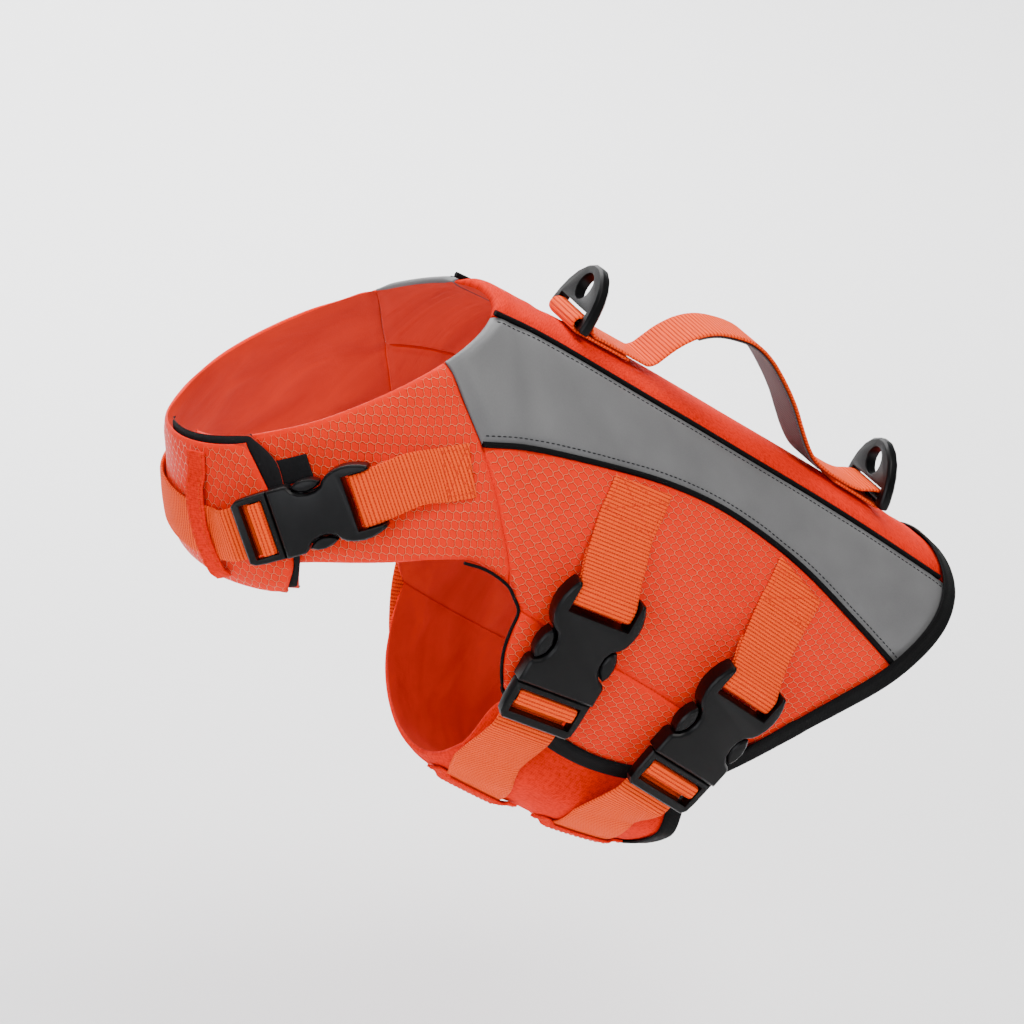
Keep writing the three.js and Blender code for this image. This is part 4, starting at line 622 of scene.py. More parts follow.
lower_right = panel(
    "lower_side_cloth_right", ripstop_orange, mirrored(lower_top), mirrored(belly_seam), mirrored(right_arm_edge),
    mirrored(right_hem_tail), (90, 26), LOWER_WALL,
    {"top": 0, "bottom": 0, "left": 0, "right": 0}, {"top": 1.0, "bottom": 1.0, "left": 1.0},
    ("right",), None, [{"u": 3.1, "angle": 255, "half_length": 26, "half_width": 6, "turn": -8, "depth": 0.6}])
for side, cloth_piece in (("left", lower_left), ("right", lower_right)):
    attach(cloth_piece, "jacket")
    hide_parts(f"lower_side_{side}")

# ---- Collar and flap -------------------------------------------------------------------------
# The collar's left half dips under the right half, which runs on round the front as a flap. Both
# are ripstop over foam; the flap is backed with black brushed cloth that shows along its edges.
COLLAR_WALL = 5.0
UNDERLAP_DROP = 4.6
FLAP_RISE = 2.4
FLAP_CLOTH = 3.0
FACING_GAP = 0.7
FACING_CLOTH = 1.4
COLLAR_TIP_SHARE = 0.42
COLLAR_LEFT_END = 172
collar_back_edge = cornered(shoulder_collar_seam, princess_seam, COLLAR_TIP_SHARE)
collar_lower_edge = line([
    ARM_CORNER, (1.66, 91.9), (1.55, 93), (1.39, 99.2), (1.24, 108.2), (1.12, 118.7), (1.03, 130), (0.98, 145),
    (0.96, COLLAR_LEFT_END),
])


def left_collar_rise(u, angle):
    return -UNDERLAP_DROP * smooth(102, 127, angle)


def flap_share(angle):
    return 1 - smooth(185, 215, angle)


collar_left = panel(
    "collar_cloth_left", ripstop_orange, line([(0, 61.5), (0, 110), (0.02, COLLAR_LEFT_END)]), collar_lower_edge,
    collar_back_edge, line([(0.02, COLLAR_LEFT_END), (0.96, COLLAR_LEFT_END)]), (110, 44), COLLAR_WALL,
    {"top": 0, "bottom": 0, "left": 0, "right": 0}, {"top": 1.9, "bottom": 1.7, "left": 1.3, "right": 1.2},
    (), left_collar_rise, [
        {"u": 0.25, "angle": 92, "half_length": 34, "half_width": 7, "turn": 80, "depth": 0.9},
        {"u": 1.2, "angle": 92, "half_length": 26, "half_width": 8, "turn": 60, "depth": 1.0},
        {"u": 0.5, "angle": 72, "half_length": 20, "half_width": 6, "turn": 100, "depth": 0.9},
        {"u": 0.9, "angle": 108, "half_length": 22, "half_width": 7, "turn": 110, "depth": 0.8},
    ], True)
collar_right = panel(
    "collar_cloth_right", ripstop_orange, line([(0.03, 134.5), (0.01, 160), (0, 200), (0, 298.5)]),
    line([
        (1.16, 136.5), (1.1, 145), (1.02, 157), (0.96, 170), (0.97, 195), (1.02, 228), (1.12, 241.3), (1.24, 251.8),
        (1.39, 260.8), (1.55, 267), (1.66, 268.1), (ARM_CORNER[0], 360 - ARM_CORNER[1]),
    ]),
    line([(0.03, 134.5), (0.24, 131.5), (0.5, 128.6), (0.93, 128.3), (1.16, 136.5)]), mirrored(collar_back_edge),
    (170, 44), lambda u, angle: COLLAR_WALL + (FLAP_CLOTH - COLLAR_WALL) * flap_share(angle),
    {"top": 0, "bottom": 0, "left": 0, "right": 0}, {"top": 1.2, "bottom": 1.1, "left": 1.1, "right": 1.3},
    (), lambda u, angle: FLAP_RISE * flap_share(angle), [
        {"u": 0.2, "angle": 145, "half_length": 16, "half_width": 5, "turn": 40, "depth": 0.5},
        {"u": 0.9, "angle": 172, "half_length": 26, "half_width": 6, "turn": 95, "depth": 0.7},
        {"u": 0.25, "angle": 205, "half_length": 28, "half_width": 7, "turn": 85, "depth": 0.8},
        {"u": 0.95, "angle": 246, "half_length": 26, "half_width": 8, "turn": 70, "depth": 1.0},
        {"u": 0.3, "angle": 270, "half_length": 24, "half_width": 7, "turn": 100, "depth": 0.9},
        {"u": 1.3, "angle": 270, "half_length": 20, "half_width": 7, "turn": 120, "depth": 0.9},
    ], True)

# Brushed polyester: black, napped and quite dull, so it reads as a soft dark edge.
brushed_black, tree, shader = new_material("Brushed polyester black")
cloth_uv = add_node(tree, "ShaderNodeTexCoord").outputs["UV"]
nap = add_node(tree, "ShaderNodeTexNoise", None, {"Vector": cloth_uv, "Scale": 700.0, "Detail": 4.0})
ramp = add_node(tree, "ShaderNodeValToRGB", None, {"Fac": nap.outputs[0]})
ramp.color_ramp.elements[0].color = colour("#0C0C0D")
ramp.color_ramp.elements[1].color = colour("#1A1A1C")
bump = add_node(tree, "ShaderNodeBump", None, {"Height": nap.outputs[0], "Strength": 0.5, "Distance": 0.0004})
tree.links.new(ramp.outputs[0], shader.inputs["Base Color"])
tree.links.new(bump.outputs[0], shader.inputs["Normal"])
shader.inputs["Roughness"].default_value = 0.85
shader.inputs["Specular IOR Level"].default_value = 0.2

flap_facing = panel(
    "flap_facing_cloth", brushed_black, line([(-0.02, 132.5), (-0.03, 150), (-0.03, 184)]),
    line([(1.17, 133.2), (1.09, 145), (1, 157), (0.93, 184)]),
    line([(-0.02, 132.5), (0.2, 125.5), (0.42, 124.5), (0.88, 125.6), (1.17, 133.2)]),
    line([(-0.03, 184), (0.93, 184)]), (70, 40), FACING_CLOTH, {"top": 0, "bottom": 0, "left": 0, "right": 0},
    {"top": 0.25, "bottom": 0.25, "left": 0.25, "right": 0.25}, (),
    lambda u, angle: FLAP_RISE - FLAP_CLOTH - FACING_GAP + 0 * u)
for cloth_piece, node, slot_name in (
        (collar_left, "collar_left", "ripstop"), (collar_right, "collar_right", "ripstop"),
        (flap_facing, "flap_facing", "black_facing")):
    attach(cloth_piece, "jacket")
    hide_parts(node)

# ---- Belly panel -----------------------------------------------------------------------------
# Plain orange cloth over foam under the chest, sewn to the right lower side and tucked inside the
# left one, with tape along its rear edge.
BELLY_WALL = 5.0
BELLY_TUCK = 8.2
BELLY_LEFT = 109


def belly_rise(u, angle):
    return -BELLY_TUCK * (1 - smooth(123, 140, angle))


belly_front = line([
    (2.62, BELLY_LEFT), (2.58, 120), (2.64, 140), (2.72, 165), (2.72, 195), (2.64, 220),
    (RIGHT_ARM_FOOT[0], 360 - BELLY_SEAM)])
belly_rear = line([
    (3.98, BELLY_LEFT), (4.05, 123.8), (4.15, 138.5), (4.18, 160), (4.18, 200), (4.13, 222),
    (BELLY_REAR_U, 360 - BELLY_SEAM)])
belly_panel = panel(
    "belly_cloth", oxford_orange, line([(2.62, BELLY_LEFT), (3.98, BELLY_LEFT)]), mirrored(belly_seam),
    belly_front, belly_rear, (70, 110), BELLY_WALL, {"top": 0, "bottom": 0, "left": 0, "right": 0},
    {"top": 1.0, "bottom": 1.1, "left": 1.8}, ("right",), belly_rise, [
        {"u": 3.4, "angle": 168, "half_length": 24, "half_width": 8, "turn": 85, "depth": 0.9},
        {"u": 3.4, "angle": 205, "half_length": 22, "half_width": 7, "turn": 95, "depth": 0.8},
        {"u": 2.85, "angle": 228, "half_length": 22, "half_width": 7, "turn": 30, "depth": 0.8},
        {"u": 3.9, "angle": 226, "half_length": 20, "half_width": 7, "turn": -20, "depth": 0.7},
    ])
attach(belly_panel, "jacket")
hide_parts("belly_panel")

# ---- Piping ----------------------------------------------------------------------------------
# Black cloth folded round a cord, 2.7 mm thick, and caught in the seams at the spine and the shoulders, and a
# thinner edging turned round each leg opening.
PIPING_RADIUS = 1.35
EDGING_RADIUS = 0.75

# Woven black tape: dull polyester with a fine cross rib. Real ribs are 0.5 mm; drawn at 0.8 mm.
woven_black, tree, shader = new_material("Woven polyester tape black")
cloth_uv = add_node(tree, "ShaderNodeTexCoord").outputs["UV"]
rib_axes = add_node(tree, "ShaderNodeSeparateXYZ", None, {"Vector": cloth_uv})
rib_turns = add_node(tree, "ShaderNodeMath", {"operation": "MULTIPLY"}, {0: rib_axes.outputs[1], 1: 2 * math.pi / 0.0008})
rib = add_node(tree, "ShaderNodeMath", {"operation": "SINE"}, {0: rib_turns.outputs[0]})
fluff = add_node(tree, "ShaderNodeTexNoise", None, {"Vector": cloth_uv, "Scale": 1200.0, "Detail": 2.0})
rough_rib = add_node(tree, "ShaderNodeMath", {"operation": "MULTIPLY_ADD"}, {0: rib.outputs[0], 1: 0.3, 2: fluff.outputs[0]})
ramp = add_node(tree, "ShaderNodeValToRGB", None, {"Fac": rough_rib.outputs[0]})
ramp.color_ramp.elements[0].color = colour("#050506")
ramp.color_ramp.elements[1].color = colour("#0E0E0F")
bump = add_node(tree, "ShaderNodeBump", None, {"Height": rough_rib.outputs[0], "Strength": 0.4, "Distance": 0.0003})
tree.links.new(ramp.outputs[0], shader.inputs["Base Color"])
tree.links.new(bump.outputs[0], shader.inputs["Normal"])
shader.inputs["Roughness"].default_value = 0.7
shader.inputs["Specular IOR Level"].default_value = 0.08


# A Geometry Nodes tree that sweeps a round cord along a drawn path.
def cord_tree(name, material):
    group = bpy.data.node_groups.new(name, "GeometryNodeTree")
    group.interface.new_socket("Geometry", in_out="INPUT", socket_type="NodeSocketGeometry")
    group.interface.new_socket("Radius", in_out="INPUT", socket_type="NodeSocketFloat")
    group.interface.new_socket("Geometry", in_out="OUTPUT", socket_type="NodeSocketGeometry")
    entry = add_node(group, "NodeGroupInput")
    path = add_node(group, "GeometryNodeMeshToCurve", None, {"Mesh": entry.outputs["Geometry"]})
    ring = add_node(group, "GeometryNodeCurvePrimitiveCircle", None, {"Resolution": 12, "Radius": entry.outputs["Radius"]})
    swept = add_node(group, "GeometryNodeCurveToMesh", None, {
        "Curve": path.outputs[0], "Profile Curve": ring.outputs[0], "Fill Caps": True})
    real = add_node(group, "GeometryNodeRealizeInstances", None, {"Geometry": swept.outputs[0]})
    dressed = add_node(group, "GeometryNodeSetMaterial", None, {"Geometry": real.outputs[0], "Material": material})
    soft = add_node(group, "GeometryNodeSetShadeSmooth", None, {"Geometry": dressed.outputs[0]})
    leave = add_node(group, "NodeGroupOutput")
    group.links.new(soft.outputs[0], leave.inputs[0])
    return group


# Runs a tree on a drawn path and returns the plain mesh it makes.
def grown(name, points, runs, group, settings, outward=None):
    mesh = bpy.data.meshes.new(name + "_path")
    edges = []
    first = 0
    for count in runs:
        edges += [(first + k, first + k + 1) for k in range(count - 1)]
        first += count
    mesh.from_pydata(points.tolist(), edges, [])
    if outward is not None:
        held = mesh.attributes.new("outward", "FLOAT_VECTOR", "POINT")
        held.data.foreach_set("vector", outward.reshape(-1).astype(np.float32))
    drawn = bpy.data.objects.new(name + "_path", mesh)
    bpy.context.scene.collection.objects.link(drawn)
    work = drawn.modifiers.new("grow", "NODES")
    work.node_group = group
    for item in group.interface.items_tree:
        if item.in_out == "INPUT" and item.name in settings:
            work[item.identifier] = settings[item.name]
    bpy.context.view_layer.update()
    result = bpy.data.meshes.new_from_object(drawn.evaluated_get(bpy.context.evaluated_depsgraph_get()))
    drawn.modifiers.remove(work)
    bpy.data.objects.remove(drawn)
    bpy.data.meshes.remove(mesh)
    result.name = name
    piece = bpy.data.objects.new(name, result)
    bpy.context.scene.collection.objects.link(piece)
    return piece


arm_hole = line([
    (1.53, 93.8), (1.66, 91.9), ARM_CORNER, (1.95, 92.8), arm_start, (2.12, 99), (2.2, 104), (2.3, 108.6),
    (2.38, 111.6)])


def path_frame(path, share):
    u, angle = path(share)
    ahead = form_point(*path(np.minimum(share + 0.004, 1)))
    behind = form_point(*path(np.maximum(share - 0.004, 0)))
    travel = unit(ahead - behind)
    normal = form_normal(u, angle)
    return u, angle, travel, normal, unit(np.cross(travel, normal))


# The corner of the leg opening is turned in a soft curve, so the edging's own line is evened out.
_even = np.linspace(0, 1, 241)
_u, _angle, _, _, _across = path_frame(arm_hole, _even)
_u, _angle = glide(_u, _angle, _across * (EDGING_RADIUS - 0.1))
for _ in range(90):
    _u[1:-1] = (_u[:-2] + 2 * _u[1:-1] + _u[2:]) / 4
    _angle[1:-1] = (_angle[:-2] + 2 * _angle[1:-1] + _angle[2:]) / 4


def edging_line(share):
    return np.interp(share, _even, _u), np.interp(share, _even, _angle)


def path_length(path):
    return np.linalg.norm(np.diff(form_point(*path(np.linspace(0, 1, 200))), axis=0), axis=1).sum()


piping_tree = cord_tree("Piping", woven_black)
for side, turn in SIDES.items():
    for kind, seam, short, out, radius in (
            ("spine_piping", spine_seam, 6, -1.0, PIPING_RADIUS), ("side_piping", side_seam, 6, -0.95, PIPING_RADIUS),
            ("armhole_edging", edging_line, 0, -1.5, EDGING_RADIUS)):
        share = np.linspace(0, 1 - short / path_length(seam), 90)
        cord_piece = grown(
            f"{kind}_cord_{side}", worn(skin(*turn(seam)(share), out)), [90], piping_tree, {"Radius": radius / 1000})
        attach(cord_piece, "jacket")
        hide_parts(f"{kind}_{side}")

# ---- Edge tape -------------------------------------------------------------------------------
# Black woven tape 24 mm wide, folded over the raw hem of the padded panels and over the belly
# panel's rear edge.
TAPE_CLOTH = 1.0
TAPE_GAP = 0.7
TAPE_LAP = 8.0


def tape(name, u, angle, away, wall, rise=None):
    here = form_point(u, angle)
    travel = unit(np.gradient(here, axis=0))
    across = unit(np.cross(travel, form_normal(u, angle)))
    half = TAPE_CLOTH / 2
    top_lap = BOUND_TOP / (TAPE_LAP + 1) + TAPE_GAP + half
    top_edge = BOUND_TOP + TAPE_GAP + half
    low_edge = BOUND_TOP - BOUND_WALL - TAPE_GAP - half
    reach = TAPE_GAP + half
    turn = 1.3
    fold = [(-TAPE_LAP, top_lap - 0.25), (-TAPE_LAP + 0.8, top_lap + 0.05), (-5, top_lap - 0.25), (-2, top_edge + 0.1),
            (reach - turn, top_edge), (reach - 0.4 * turn, top_edge - 0.15 * turn), (reach, top_edge - turn),
            (reach, low_edge + turn), (reach - 0.4 * turn, low_edge + 0.15 * turn), (reach - turn, low_edge),
            (-4, None), (-TAPE_LAP, None)]
    columns = []
    for away_mm, out in fold:
        if out is None:
            ratio = -away_mm / (TAPE_LAP + 1)
            out = (BOUND_TOP - BOUND_WALL) * (1 - ratio) - wall * ratio - TAPE_GAP - half
        uu, aa = glide(u, angle, across * (away * away_mm))
        lift = rise(uu, aa) if rise else 0
        columns.append(skin(uu, aa, out + lift + 0 * uu))
    middle = np.stack(columns, 1)
    facing = unit(np.cross(np.gradient(middle, axis=0), np.gradient(middle, axis=1)))
    run = np.concatenate([[0], np.cumsum(np.linalg.norm(np.diff(here, axis=0), axis=1))])
    round_edge = np.concatenate([[0], np.cumsum(np.linalg.norm(np.diff(middle[len(middle) // 2], axis=0), axis=1))])
    uv = np.stack(np.meshgrid(run, round_edge, indexing="ij")[::-1], -1)
    thin = np.ones(len(fold))
    thin[[0, -1]] = 0.6
    offset = facing * (half * thin)[None, :, None]
    return wall_mesh(name, middle + offset, middle - offset, uv, woven_black)


foot = left_bottom_edge(np.linspace(0, 1, 60))
round_back = np.linspace(HEM_END, -LOWER_SEAM_END, 240)[1:]
tail = right_hem_tail(np.linspace(0, 0.9, 14)[1:])
hem_path_u = np.concatenate([foot[0], hem_u(round_back), tail[0]])
hem_path_angle = np.concatenate([foot[1], round_back, -tail[1]])
wall_there = np.where(np.abs(hem_path_angle) < LOWER_SEAM_END + 1, PANEL_WALL, LOWER_WALL)
hem_tape = tape("hem_tape", hem_path_u, hem_path_angle, 1, wall_there)
belly_share = np.linspace(0.01, 0.95, 90)
belly_tape = tape("belly_tape", *belly_rear(belly_share), -1, BELLY_WALL, belly_rise)
for tape_piece, node, length in ((hem_tape, "hem_binding", 0.62), (belly_tape, "belly_binding", 0.2)):
    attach(tape_piece, "jacket")
    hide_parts(node)
    under = "spine_cloth" if node == "hem_binding" else "belly_cloth"

# ---- Buckles ---------------------------------------------------------------------------------
# Side-release buckles moulded in black acetal, three of them on the dog's left: each a socket with
# the sewn strap round its bar and a plug whose belt is threaded over two bars.

# Moulded acetal: slightly glossy black with the fine even grain of a spark-eroded mould. Real
# grain is 0.1 mm; drawn at 0.25 mm.
acetal_black, tree, shader = new_material("Moulded acetal black")
plastic_place = add_node(tree, "ShaderNodeTexCoord").outputs["Object"]
spark = add_node(tree, "ShaderNodeTexNoise", None, {"Vector": plastic_place, "Scale": 4000.0, "Detail": 2.0})
rub = add_node(tree, "ShaderNodeTexNoise", None, {"Vector": plastic_place, "Scale": 120.0, "Detail": 4.0})
gloss = add_node(tree, "ShaderNodeMapRange", None, {
    "Value": rub.outputs[0], "From Min": 0.3, "From Max": 0.7, "To Min": 0.3, "To Max": 0.4})
ramp = add_node(tree, "ShaderNodeValToRGB", None, {"Fac": rub.outputs[0]})
ramp.color_ramp.elements[0].color = colour("#030304")
ramp.color_ramp.elements[1].color = colour("#070708")
bump = add_node(tree, "ShaderNodeBump", None, {"Height": spark.outputs[0], "Strength": 0.12, "Distance": 0.0002})
tree.links.new(ramp.outputs[0], shader.inputs["Base Color"])
tree.links.new(gloss.outputs[0], shader.inputs["Roughness"])
tree.links.new(bump.outputs[0], shader.inputs["Normal"])
shader.inputs["Specular IOR Level"].default_value = 0.17


# A moulding whose edges are rounded as a mould leaves them, on its solid's own form.
def moulded(name, node, body, radius, steps=3):
    form = bmesh.new()
    form.from_mesh(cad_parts[node].data)
    bmesh.ops.remove_doubles(form, verts=form.verts, dist=2e-6)
    bmesh.ops.dissolve_limit(form, angle_limit=math.radians(1.5), verts=form.verts, edges=form.edges)
    mesh = bpy.data.meshes.new(name)
    form.to_mesh(mesh)
    form.free()
    piece = bpy.data.objects.new(name, mesh)
    bpy.context.scene.collection.objects.link(piece)
    edge = piece.modifiers.new("edge", "BEVEL")
    edge.width = radius
    edge.segments = steps
    edge.limit_method = "ANGLE"
    edge.angle_limit = math.radians(28)
    edge.harden_normals = False
    bpy.context.view_layer.update()
    finished = bpy.data.meshes.new_from_object(piece.evaluated_get(bpy.context.evaluated_depsgraph_get()))
    piece.modifiers.remove(edge)
    piece.data = finished
    bpy.data.meshes.remove(mesh)
    finished.materials.clear()
    finished.materials.append(acetal_black)
    finished.polygons.foreach_set("use_smooth", np.ones(len(finished.polygons), bool))
    finished.set_sharp_from_angle(angle=math.radians(34))
    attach(piece, body)
    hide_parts(node)
    return piece


for place_name in ("front", "rear", "collar"):
    for half_name in ("socket", "plug"):
        moulded(
            f"{place_name}_{half_name}_moulding", f"buckle_{place_name}_{half_name}", "jacket",
            0.0005)

# ---- Straps and belts ------------------------------------------------------------------------
# Orange polyester webbing, 30 mm on the trunk and 23.4 mm on the collar. Each strap is sewn on at a
# seam and looped round its socket's bar; each belt runs under the dog and threads its plug.

# Ribbed webbing: fat cross ribs 1.7 mm apart, each made of slanting yarns that lean the other way
# in the next rib, with smoother woven edges. The colour follows the rib height, painted darker in the hollows between
# ribs and yarns as painted shade, with random fibre tone on top.
RIB = 1.7
webbing_orange, tree, shader = new_material("Ribbed polyester webbing orange")
cloth_uv = add_node(tree, "ShaderNodeTexCoord").outputs["UV"]
spots = add_node(tree, "ShaderNodeSeparateXYZ", None, {"Vector": cloth_uv})
along_ribs = add_node(tree, "ShaderNodeMath", {"operation": "MULTIPLY"}, {0: spots.outputs[1], 1: 1000 / RIB})
across_yarns = add_node(tree, "ShaderNodeMath", {"operation": "MULTIPLY"}, {0: spots.outputs[0], 1: 1000 / 1.3})
rib_fold = add_node(tree, "ShaderNodeMath", {"operation": "PINGPONG"}, {0: along_ribs.outputs[0], 1: 0.5})
lean = add_node(tree, "ShaderNodeMath", {"operation": "PINGPONG"}, {0: along_ribs.outputs[0], 1: 1.0})
leaning = add_node(tree, "ShaderNodeMath", {"operation": "MULTIPLY_ADD"}, {0: lean.outputs[0], 1: 0.9, 2: across_yarns.outputs[0]})
yarn_turns = add_node(tree, "ShaderNodeMath", {"operation": "MULTIPLY"}, {0: leaning.outputs[0], 1: 2 * math.pi})
yarn = add_node(tree, "ShaderNodeMath", {"operation": "SINE"}, {0: yarn_turns.outputs[0]})
rib_high = add_node(tree, "ShaderNodeMapRange", {"interpolation_type": "SMOOTHSTEP"}, {
    "Value": rib_fold.outputs[0], "From Min": 0.02, "From Max": 0.3, "To Min": 0.0, "To Max": 1.0})
hairs = add_node(tree, "ShaderNodeTexNoise", None, {"Vector": cloth_uv, "Scale": 1500.0, "Detail": 3.0})
rib_yarn = add_node(tree, "ShaderNodeMath", {"operation": "MULTIPLY_ADD"}, {0: yarn.outputs[0], 1: 0.18, 2: rib_high.outputs[0]})
webbing_high = add_node(tree, "ShaderNodeMath", {"operation": "MULTIPLY_ADD"}, {0: hairs.outputs[0], 1: 0.25, 2: rib_yarn.outputs[0]})
# Painted shade: the colour follows the rib and yarn height, so the hollows are painted darker; the hairs noise adds
# random tone.
ramp = add_node(tree, "ShaderNodeValToRGB", None, {"Fac": webbing_high.outputs[0]})
ramp.color_ramp.elements[0].position = 0.0
ramp.color_ramp.elements[0].color = colour("#C8240A")
ramp.color_ramp.elements[1].position = 1.0
ramp.color_ramp.elements[1].color = colour("#FF5416")
bump = add_node(tree, "ShaderNodeBump", None, {"Height": webbing_high.outputs[0], "Strength": 0.8, "Distance": 0.0005})
tree.links.new(ramp.outputs[0], shader.inputs["Base Color"])
tree.links.new(bump.outputs[0], shader.inputs["Normal"])
shader.inputs["Roughness"].default_value = 0.66
shader.inputs["Specular IOR Level"].default_value = 0.06
shader.inputs["Specular Tint"].default_value = colour("#FF8A48")

WEB = 1.5
WEB_REST = 0.5
WEB_GAP = 0.35
LAYER_STEP = WEB + 0.45
SIDE_WIDTH = 30.0
COLLAR_WIDTH = 23.4
ACROSS = np.array([-0.5, -0.485, -0.44, -0.3, -0.1, 0.1, 0.3, 0.44, 0.485, 0.5])
SELVEDGE = np.array([0.35, 0.75, 1, 1, 1, 1, 1, 1, 0.75, 0.35])


# Rows of points across a ribbon that lies on the form.
def lying_rows(path, count, width, out, slant=0.0, thick=WEB):
    share = np.linspace(0, 1, count + 1)
    u, angle, travel, normal, across = path_frame(path, share)
    side = across + travel * (slant * (1 - share))[:, None]
    height = out(u, angle) + 0 * u
    columns = []
    for k in ACROSS:
        uu, aa = glide(u, angle, side * (k * width))
        columns.append(skin(uu, aa, height + thick / 2))
    return np.stack(columns, 1)


# Rows across a ribbon bent along a middle line in one plane.
def bent_rows(points, world, across, width):
    middle = np.array([world(*p) for p in points])
    return middle[:, None, :] + ACROSS[None, :, None] * width * np.asarray(across)[None, None, :]


# Smooths rows lengthwise and closes them into one ribbon of webbing.
def ribbon(name, rows, material, thick=WEB, refine=4, straight_from=0):
    keys = rows[:, len(ACROSS) // 2]
    gap = np.sqrt(np.maximum(np.linalg.norm(np.diff(keys, axis=0), axis=1), 0.05))
    ends = np.concatenate([[2 * rows[0] - rows[1]], rows, [2 * rows[-1] - rows[-2]]])
    gap = np.concatenate([[gap[0]], gap, [gap[-1]]])
    pieces = []
    for k in range(len(rows) - 1):
        pieces.append(between(ends[k:k + 4], gap[k:k + 3], np.linspace(0, 1, refine, endpoint=False)[:, None, None]))
    grid = np.concatenate(pieces + [rows[-1:]])
    run = np.concatenate([[0], np.cumsum(np.linalg.norm(np.diff(grid[:, 4], axis=0), axis=1))])
    width = np.linalg.norm(grid[0, -1] - grid[0, 0])
    facing = unit(np.cross(np.gradient(grid, axis=1), np.gradient(grid, axis=0)))
    along = np.repeat(run[:, None], len(ACROSS), 1)
    for k in range(straight_from * refine - 1, -1, -1):
        along[k] = along[k + 1] - np.linalg.norm(grid[k + 1] - grid[k], axis=1)
    uv = np.stack([np.broadcast_to(ACROSS * width, along.shape), along], -1)
    offset = facing * (thick / 2 * SELVEDGE)[None, :, None]
    piece = wall_mesh(name, grid + offset, grid - offset, uv, material)
    return piece, run[-1]


def buckle_frame(top, foot_place, scale, lift):
    a, b = skin(*map(np.array, top), 12), skin(*map(np.array, foot_place), 12)
    middle = (np.array(top, float) + np.array(foot_place, float)) / 2
    y = unit(a - b)
    n = form_normal(*map(np.array, middle))
    z = unit(n - y * (n @ y))
    origin = skin(*map(np.array, middle), lift) - y * (14 * scale)
    return {"x": np.cross(y, z), "scale": scale, "world": lambda v, w: origin + y * v + z * w}


front_buckle = buckle_frame((2.377, 84.4), (2.615, 110.1), 1.0, 6.4)
rear_buckle = buckle_frame((3.631, 81.8), (3.619, 116.6), 1.0, 6.4)
collar_buckle = buckle_frame((0.672, 99.7), (0.608, 137.4), 0.88, 7.4)
SEAT_BAR = (42.6, 46.2)
PLUG_BAR = (-9.6, -6.2)
BAR_HALF = 1.6
LOOP_GAP = WEB_GAP + WEB / 2


def socket_loop(scale):
    low = SEAT_BAR[0] * scale - LOOP_GAP
    high = SEAT_BAR[1] * scale
    deep = BAR_HALF * scale + LOOP_GAP
    down = [(high + y, deep + z) for y, z in ((19.8, -13.3), (11.8, -8.4), (5.6, -3.3), (2.4, -0.6))]
    return down + [
        (high, deep), (low + 1.3, deep), (low + 0.3, deep - 0.5), (low, deep - 1.5), (low, -deep + 1.5),
        (low + 0.3, -deep + 0.5), (low + 1.3, -deep), (high + 2, -deep), (high + 6.5, deep - 4.2 - LAYER_STEP),
        (high + 11.8, deep - 8.6 - LAYER_STEP), (high + 16.5, deep - 11.4 - LAYER_STEP)]


def plug_turn(scale):
    low = PLUG_BAR[0] * scale - LOOP_GAP
    high = PLUG_BAR[1] * scale + LOOP_GAP
    top = BAR_HALF * scale + LOOP_GAP
    under = -3.0 * scale - LOOP_GAP
    return [
        (-27 * scale, under - 1), (-23 * scale, under), (low, under), (high - 1.8, under + 0.3),
        (high - 0.35, under + 1.5), (high, under + 3), (high, top - 1.1), (high - 0.4, top - 0.25), (high - 1.3, top),
        (low + 1.3, top), (low + 0.4, top - 0.25), (low, top - 1.1), (low, -1.6)]


flat_on = lambda u, angle: WEB_REST + 0 * u
STRAPS = [
    ("side_strap_front", [(2.115, 53.5), (2.14, 59), (2.17, 65)], front_buckle, SIDE_WIDTH, 0.22, "side_cloth_left"),
    ("side_strap_rear", [(3.63, 54.5), (3.625, 60), (3.618, 65.5)], rear_buckle, SIDE_WIDTH, -0.18, "side_cloth_left"),
    ("collar_strap", [(0.983, 78.1), (0.93, 81.0), (0.879, 84.0)], collar_buckle, COLLAR_WIDTH, 0.0, "collar_cloth_left"),
]
for node, places, buckle, width, slant, under in STRAPS:
    rows = np.concatenate([
        lying_rows(line(places), 4, width, flat_on, slant),
        bent_rows(socket_loop(buckle["scale"]), buckle["world"], -buckle["x"], width)])
    strap, length = ribbon(node + "_webbing", rows, webbing_orange, straight_from=5)
    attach(strap, "jacket")
    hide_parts(node)


def flap_out(u, angle):
    return WEB_REST + (FLAP_RISE + 0.4) * flap_share(angle)


BELTS = [
    ("belly_belt_front", [
        (2.12, 306), (2.32, 290), (2.42, 277), (2.52, 262), (2.66, 246), (2.78, 234), (2.95, 216), (3.07, 196),
        (3.1, 180), (3.06, 165), (2.96, 151), (2.86, 143), (2.79, 137)],
     front_buckle, SIDE_WIDTH, flat_on, 60, "belly_cloth"),
    ("belly_belt_rear", [
        (3.62, 305), (3.66, 290), (3.7, 277), (3.68, 262), (3.68, 246), (3.7, 234), (3.76, 216), (3.81, 196),
        (3.82, 180), (3.8, 165), (3.75, 151), (3.7, 143), (3.66, 137)],
     rear_buckle, SIDE_WIDTH, flat_on, 60, "belly_cloth"),
    ("collar_belt", [
        (0.97, 281), (0.84, 270), (0.7, 257), (0.64, 240), (0.6, 215), (0.57, 196), (0.57, 180), (0.6, 166),
        (0.62, 160), (0.645, 151.8)], collar_buckle, COLLAR_WIDTH, flap_out, 46, "collar_cloth_right"),
]
for node, places, buckle, width, out, count, under in BELTS:
    rows = np.concatenate([
        lying_rows(line(places), count, width, out),
        bent_rows(plug_turn(buckle["scale"]), buckle["world"], buckle["x"], width)])
    belt, length = ribbon(node + "_webbing", rows, webbing_orange, refine=3)
    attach(belt, "jacket")
    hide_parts(node)

